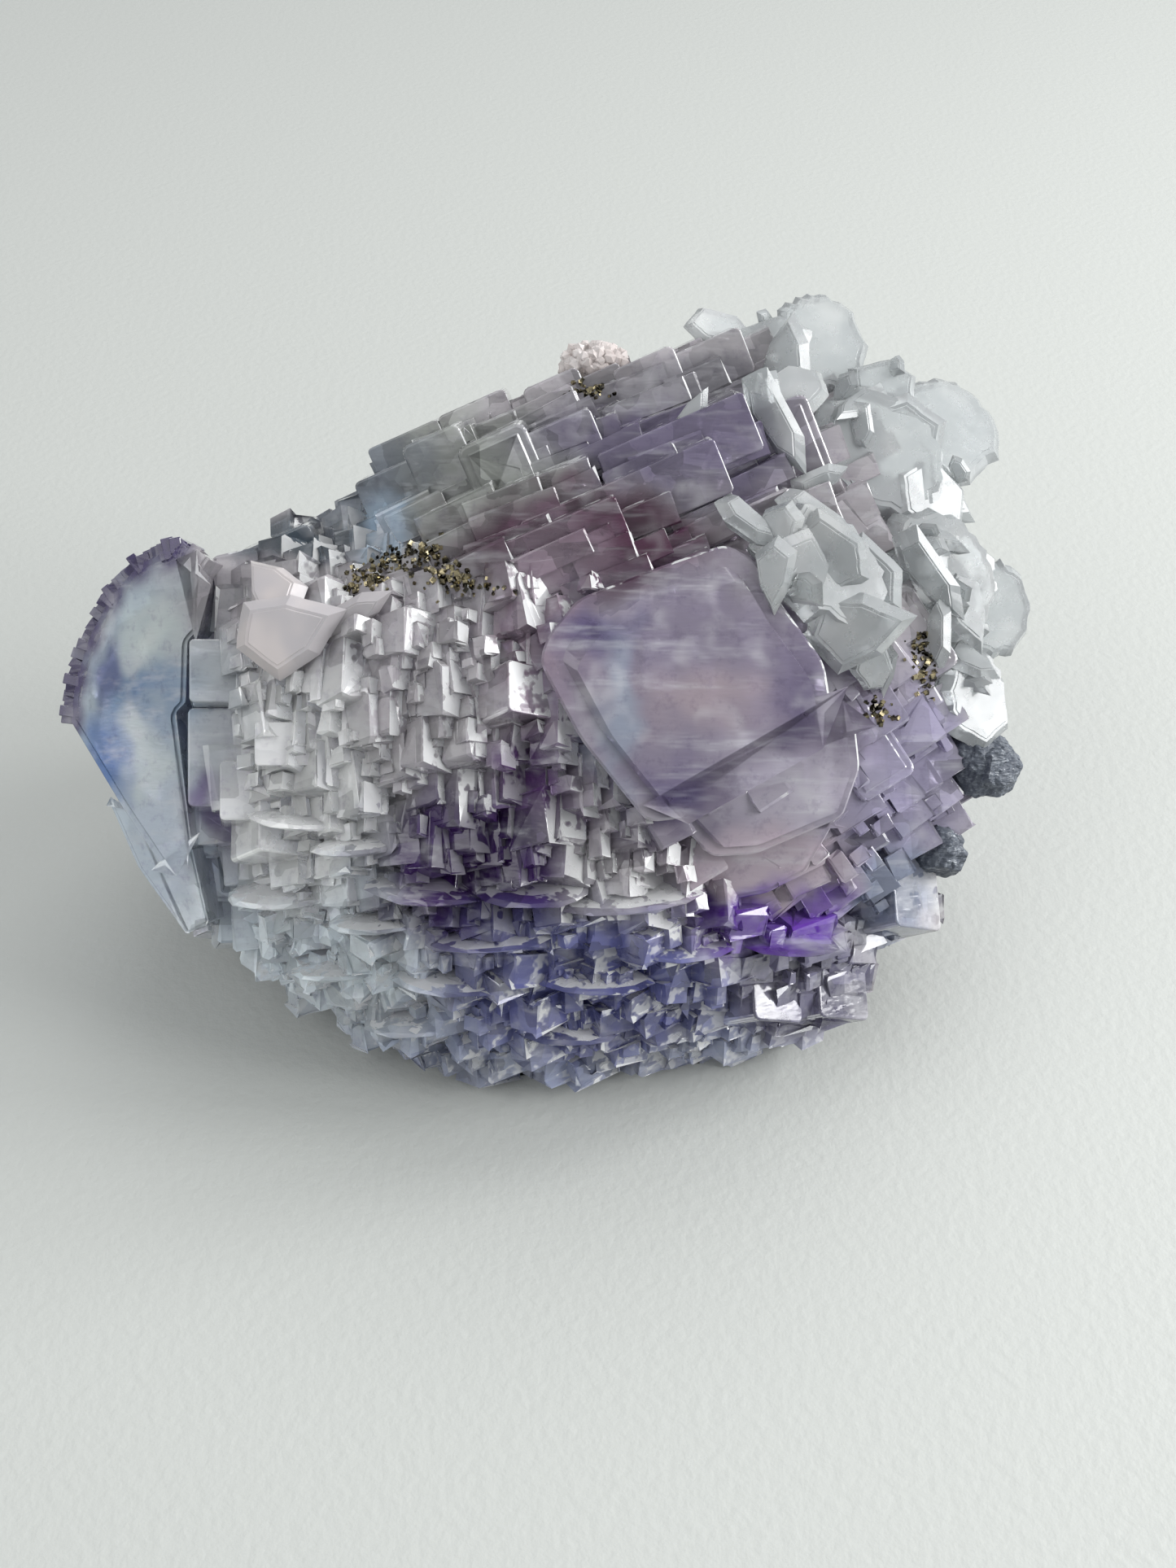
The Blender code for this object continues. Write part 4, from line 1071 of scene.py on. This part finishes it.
def fluorite_finish():
    """Clear, zoned fluorite."""
    made, tree, surface = new_material(
        "fluorite", IOR=FLUORITE_IOR, Transmission_Weight=FLUORITE_TRANSMISSION, Coat_Weight=0.5,
        Coat_IOR=1.6, Coat_Roughness=0.05,
    )
    place = display_place(tree)
    wobble = tree.add("ShaderNodeTexNoise", {"Vector": place, "Scale": 0.16, "Detail": 2.0}).outputs[1]
    wobble = tree.add("ShaderNodeVectorMath", {0: wobble, 1: (0.5, 0.5, 0.5)}, operation="SUBTRACT").outputs[0]
    wobble = tree.add("ShaderNodeVectorMath", {0: wobble, 1: (9.0, 9.0, 9.0)}, operation="MULTIPLY").outputs[0]
    warped = tree.add("ShaderNodeVectorMath", {0: place, 1: wobble}).outputs[0]
    colour = tree.mix(tree.noise(place, 0.09, 1.0), CLEAR_GREY, (0.66, 0.65, 0.66, 1))
    for label, middle, reach, softness, tint in CUBE_PATCHES:
        colour = patched(tree, warped, colour, middle, reach, softness, tint, label)
    turned = tree.add("ShaderNodeMapping", {"Vector": place, "Rotation": UPRIGHT.transposed().to_euler()})
    cells = tree.add(
        "ShaderNodeTexVoronoi", {"Vector": turned.outputs[0], "Scale": 0.36, "Randomness": 0.55},
        distance="CHEBYCHEV",
    )
    shade = tree.add("ShaderNodeSeparateColor", {0: cells.outputs["Color"]}).outputs[0]
    shade = tree.add("ShaderNodeMapRange", {"Value": shade, "To Min": 0.66, "To Max": 1.3}).outputs[0]
    shaded = tree.add("ShaderNodeMix", {0: 1.0, 6: colour}, data_type="RGBA", blend_type="MULTIPLY")
    grey = tree.add("ShaderNodeCombineColor", {0: shade, 1: shade, 2: shade}).outputs[0]
    tree.tree.links.new(grey, shaded.inputs[7])
    colour = shaded.outputs[2]
    for label, middle, reach, softness, tint in SMOOTH_PATCHES:
        colour = patched(tree, warped, colour, middle, reach, softness, tint, label)
    for s, t in TIP_OUTLINE[:6]:
        colour = patched(tree, place, colour, (s - 0.4, t + 0.3, 3.0), (2.1, 2.1, 30.0), 0.45, RIM_TINT, "dark rim")
    clouds = tree.add("ShaderNodeGroup", node_tree=CLOUDS)
    tree.tree.links.new(place, clouds.inputs["Place"])
    clouds.inputs["Size"].default_value = 0.24
    clouds.inputs["Amount"].default_value = 0.55
    colour = tree.mix(tree.math("MULTIPLY", clouds.outputs[0], 0.4), colour, (0.86, 0.86, 0.88, 1))
    streaked = tree.add(
        "ShaderNodeMapping", {"Vector": place, "Rotation": (0.3, 0.2, -0.9), "Scale": (0.16, 1.1, 0.5)}
    ).outputs[0]
    pale_streaks = tree.ramp(tree.noise(streaked, 0.6, 3.0, 0.65), 0.52, 0.78, 0.0, 0.42)
    colour = tree.mix(pale_streaks, colour, (0.84, 0.86, 0.88, 1))
    specks = tree.ramp(tree.noise(place, 0.9, 3.0, 0.7), 0.50, 0.72, 0.0, 0.45)
    darker = tree.add("ShaderNodeMix", {0: specks, 6: colour}, data_type="RGBA", blend_type="MULTIPLY")
    darker.inputs[7].default_value = (0.60, 0.56, 0.66, 1)
    colour = darker.outputs[2]
    # Painted highlight: right-hand sides, lower sides and tops are painted near-white where they face the window and
    # the sky, and these patches are also made rougher
    sides = painted_highlight_mask(tree, place, UPRIGHT @ Vector((0, 0, 1)), 0.95)
    lit_low_sides = painted_highlight_mask(tree, place, LOW @ Vector((0, 0, 1)), 0.4)
    lit_tops = painted_highlight_mask(tree, place, LOW @ Vector((0, 1, 0)), 1.1)
    painted_highlight = tree.math("MAXIMUM", sides, tree.math("MAXIMUM", tree.math("MULTIPLY", lit_low_sides, 0.6), lit_tops))
    for label, middle, reach, left in WEAKER_HIGHLIGHT_PLACES:
        clear = tree.add("ShaderNodeGroup", node_tree=PATCH, label=label)
        tree.tree.links.new(place, clear.inputs["Place"])
        clear.inputs["Middle"].default_value = middle
        clear.inputs["Reach"].default_value = reach
        painted_highlight = tree.math("MULTIPLY", painted_highlight, tree.ramp(clear.outputs[0], 0.0, 1.0, 1.0, left))
    tree.tree.links.new(tree.mix(painted_highlight, colour, PAINTED_HIGHLIGHT_TINT), surface.inputs["Base Color"])
    rough = tree.ramp(tree.noise(place, 0.5, 2.0), 0.35, 0.7, 0.05, 0.20)
    rough = tree.math("ADD", rough, tree.math("MULTIPLY", painted_highlight, 0.22))
    tree.tree.links.new(rough, surface.inputs["Roughness"])
    etched = tree.add("ShaderNodeGroup", node_tree=ETCHED)
    tree.tree.links.new(place, etched.inputs["Place"])
    etched.inputs["Grain"].default_value = 1.1
    etched.inputs["Depth"].default_value = 0.035
    tree.tree.links.new(etched.outputs[0], surface.inputs["Normal"])
    inside = tree.add(
        "ShaderNodeVolumeAbsorption", {"Color": ABSORPTION_COLOUR, "Density": ABSORPTION_DENSITY}
    ).outputs[0]
    tree.tree.links.new(inside, tree.tree.nodes["Material Output"].inputs["Volume"])
    return made


FLUORITE = fluorite_finish()
print("fluorite has", len(CUBE_PATCHES) + len(SMOOTH_PATCHES), "colour patches")

# %% [markdown]
# Calcite is clear too, but frosted: a rougher glass with a higher index, 1.6 between its two, and milky clouds. The
# cluster on the left is faintly pink, and the rosette is pinker still and hardly clear at all.

# %% Calcite finishes


def calcite_finish(name, clear, milky, transmission, roughness):
    """Frosted calcite between a clear and a milky tint."""
    made, tree, surface = new_material(
        name, IOR=1.6, Transmission_Weight=transmission
    )
    place = display_place(tree)
    clouds = tree.add("ShaderNodeGroup", node_tree=CLOUDS)
    tree.tree.links.new(place, clouds.inputs["Place"])
    clouds.inputs["Size"].default_value = 0.16
    clouds.inputs["Amount"].default_value = 0.7
    tree.tree.links.new(tree.mix(clouds.outputs[0], clear, milky), surface.inputs["Base Color"])
    rough = tree.ramp(tree.noise(place, 0.8, 4.0), 0.3, 0.7, roughness - 0.06, roughness + 0.06)
    tree.tree.links.new(rough, surface.inputs["Roughness"])
    grain = tree.add(
        "ShaderNodeBump", {"Strength": 0.3, "Distance": 0.01 * MM, "Height": tree.noise(place, 1.6, 4.0, 0.6)}
    )
    tree.tree.links.new(grain.outputs[0], surface.inputs["Normal"])
    return made


CALCITE_WHITE = calcite_finish("calcite", (0.58, 0.61, 0.62, 1), (0.72, 0.74, 0.74, 1), 0.6, 0.24)
CALCITE_PINK = calcite_finish("calcite pink", (0.62, 0.59, 0.61, 1), (0.76, 0.70, 0.69, 1), 0.4, 0.34)
ROSETTE_PINK = calcite_finish("rosette", (0.88, 0.79, 0.76, 1), (0.97, 0.92, 0.90, 1), 0.5, 0.36)
print("calcite finishes made")

# %% [markdown]
# Pyrite is a metal to the eye: brassy where it flashes and nearly black where it does not. The rock is dull, dark
# and bluish, with a few glints. Neither lets light through.

# %% Pyrite and rock finishes


def pyrite_finish():
    """Brassy metal with a dark tarnish in patches."""
    made, tree, surface = new_material("pyrite", Metallic=1.0)
    place = display_place(tree)
    tarnish = tree.ramp(tree.noise(place, 1.4, 3.0), 0.4, 0.62)
    tree.tree.links.new(
        tree.mix(tarnish, (0.36, 0.31, 0.19, 1), (0.045, 0.042, 0.034, 1)), surface.inputs["Base Color"]
    )
    tree.tree.links.new(tree.ramp(tree.noise(place, 2.0), 0.3, 0.7, 0.12, 0.34), surface.inputs["Roughness"])
    return made


def rock_finish():
    """Dark bluish rock with paler grains."""
    made, tree, surface = new_material("rock")
    place = display_place(tree)
    grains = tree.ramp(tree.noise(place, 1.8, 6.0, 0.7), 0.45, 0.7)
    tree.tree.links.new(
        tree.mix(grains, (0.05, 0.06, 0.08, 1), (0.17, 0.19, 0.22, 1)), surface.inputs["Base Color"]
    )
    tree.tree.links.new(tree.ramp(grains, 0.0, 1.0, 0.55, 0.25), surface.inputs["Roughness"])
    etched = tree.add("ShaderNodeGroup", node_tree=ETCHED)
    tree.tree.links.new(place, etched.inputs["Place"])
    etched.inputs["Grain"].default_value = 2.0
    etched.inputs["Depth"].default_value = 0.25
    tree.tree.links.new(etched.outputs[0], surface.inputs["Normal"])
    return made


PYRITE_BRASS = pyrite_finish()
ROCK_DARK = rock_finish()
print("materials:", [made.name for made in (FLUORITE, CALCITE_WHITE, PYRITE_BRASS, ROCK_DARK)])

# %% [markdown]
# Every new piece stands for one plain solid of the frame. It takes that solid's place, which is hidden, rides on
# the root body and gets its finish.

# %% Put each piece in its place


def stand_for(piece, node, finish):
    """Gives a piece its finish and puts it in the place of a solid of the frame."""
    piece.data.materials.clear()
    piece.data.materials.append(finish)
    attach(piece, "root")
    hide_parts(node)


stand_for(fluorite, "fluorite", FLUORITE)
for name, cluster in calcite.items():
    pink = name == "calcite_left"
    stand_for(cluster, name, CALCITE_PINK if pink else CALCITE_WHITE)
for name, crust in pyrite.items():
    stand_for(crust, name, PYRITE_BRASS)
for name, lump in rocks.items():
    stand_for(lump, name, ROCK_DARK)
stand_for(rosette_ball, "calcite_rosette", ROSETTE_PINK)
print("pieces in place:", len(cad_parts))

# %% [markdown]
# The specimen lies on a plain pale painted surface. Light comes from a tall window low on the right, which is what
# the right-hand sides of the upright cubes mirror, from a softer sky above and behind, and a little from all
# around. The window is three panes: their gaps make some faces flash and leave others dark.

# %% Floor, light and camera
FLOOR_SIDE = 3.0
WINDOW_DIRECTION = (0.0, 26.0)
WINDOW_DISTANCE = 0.55
PANES = (-0.15, 0.0, 0.15)
PANE_SIZE = (0.12, 0.34)
PANE_WATTS = 1.5
SKY_WATTS = 2.0
FILL_WATTS = 1.5

floor_bm = bmesh.new()
bmesh.ops.create_grid(floor_bm, x_segments=1, y_segments=1, size=FLOOR_SIDE / 2)
floor_mesh = bpy.data.meshes.new("floor")
floor_bm.to_mesh(floor_mesh)
floor_bm.free()
floor = bpy.data.objects.new("floor", floor_mesh)
bpy.context.scene.collection.objects.link(floor)
paint, tree, surface = new_material("painted floor", Base_Color=(0.44, 0.455, 0.435, 1), Roughness=0.55)
where = tree.add("ShaderNodeTexCoord").outputs["Object"]
fleck = tree.noise(where, 900.0, 3.0)
bump = tree.add("ShaderNodeBump", {"Strength": 0.25, "Distance": 0.0004, "Height": fleck})
tree.tree.links.new(bump.outputs[0], surface.inputs["Normal"])
floor.data.materials.append(paint)

scene = bpy.context.scene
world = bpy.data.worlds.new("room")
scene.world = world
world.use_nodes = True
world.node_tree.nodes["Background"].inputs["Color"].default_value = (0.86, 0.88, 0.90, 1)
world.node_tree.nodes["Background"].inputs["Strength"].default_value = 0.66
scene.view_settings.view_transform = "Standard"
scene.cycles.max_bounces = 5
scene.cycles.diffuse_bounces = 2
scene.cycles.glossy_bounces = 1
scene.cycles.transmission_bounces = 3


def area_light(name, place, target, size, watts):
    """A rectangular light at a place, facing a target."""
    data = bpy.data.lights.new(name, "AREA")
    data.shape = "RECTANGLE"
    data.size, data.size_y = size
    data.energy = watts
    obj = bpy.data.objects.new(name, data)
    bpy.context.scene.collection.objects.link(obj)
    obj.location = place
    obj.rotation_euler = (Vector(target) - Vector(place)).to_track_quat("-Z", "Y").to_euler()
    return obj


heart = to_part((0, 0, 0)) * MM
azimuth, elevation = [math.radians(angle) for angle in WINDOW_DIRECTION]
towards_window = Vector((
    math.cos(elevation) * math.cos(azimuth), math.cos(elevation) * math.sin(azimuth), math.sin(elevation)
))
along_window = Vector((-math.sin(azimuth), math.cos(azimuth), 0))
for number, offset in enumerate(PANES):
    place = heart + towards_window * WINDOW_DISTANCE + along_window * offset
    area_light(f"pane {number}", place, heart, PANE_SIZE, PANE_WATTS)
area_light("sky", heart + Vector((0.1, 0.35, 0.7)), heart, (0.6, 0.5), SKY_WATTS)
area_light("fill", heart + Vector((-0.45, -0.25, 0.45)), heart, (0.6, 0.6), FILL_WATTS)

CAMERA_DISTANCE = 150.0
CAMERA_ASIDE = (3.4, -8.9)
FOCAL_PIXELS = 2000.0
PICTURE_HEIGHT = 1927.0
SENSOR = 36.0
camera_data = bpy.data.cameras.new("camera")
camera_data.sensor_width = SENSOR
camera_data.lens = FOCAL_PIXELS / PICTURE_HEIGHT * SENSOR
camera_data.clip_start = 0.005
camera = bpy.data.objects.new("camera", camera_data)
scene.collection.objects.link(camera)
eye = to_part((*CAMERA_ASIDE, CAMERA_DISTANCE)) * MM
camera.matrix_world = Matrix.Translation(eye) @ DISPLAY.to_4x4()
scene.camera = camera
print("camera at", [round(x, 3) for x in eye])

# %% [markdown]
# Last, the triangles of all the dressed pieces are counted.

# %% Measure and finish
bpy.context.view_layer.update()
pieces = [fluorite, rosette_ball, *calcite.values(), *pyrite.values(), *rocks.values()]
print("triangles in all:", sum(triangles(piece) for piece in pieces))
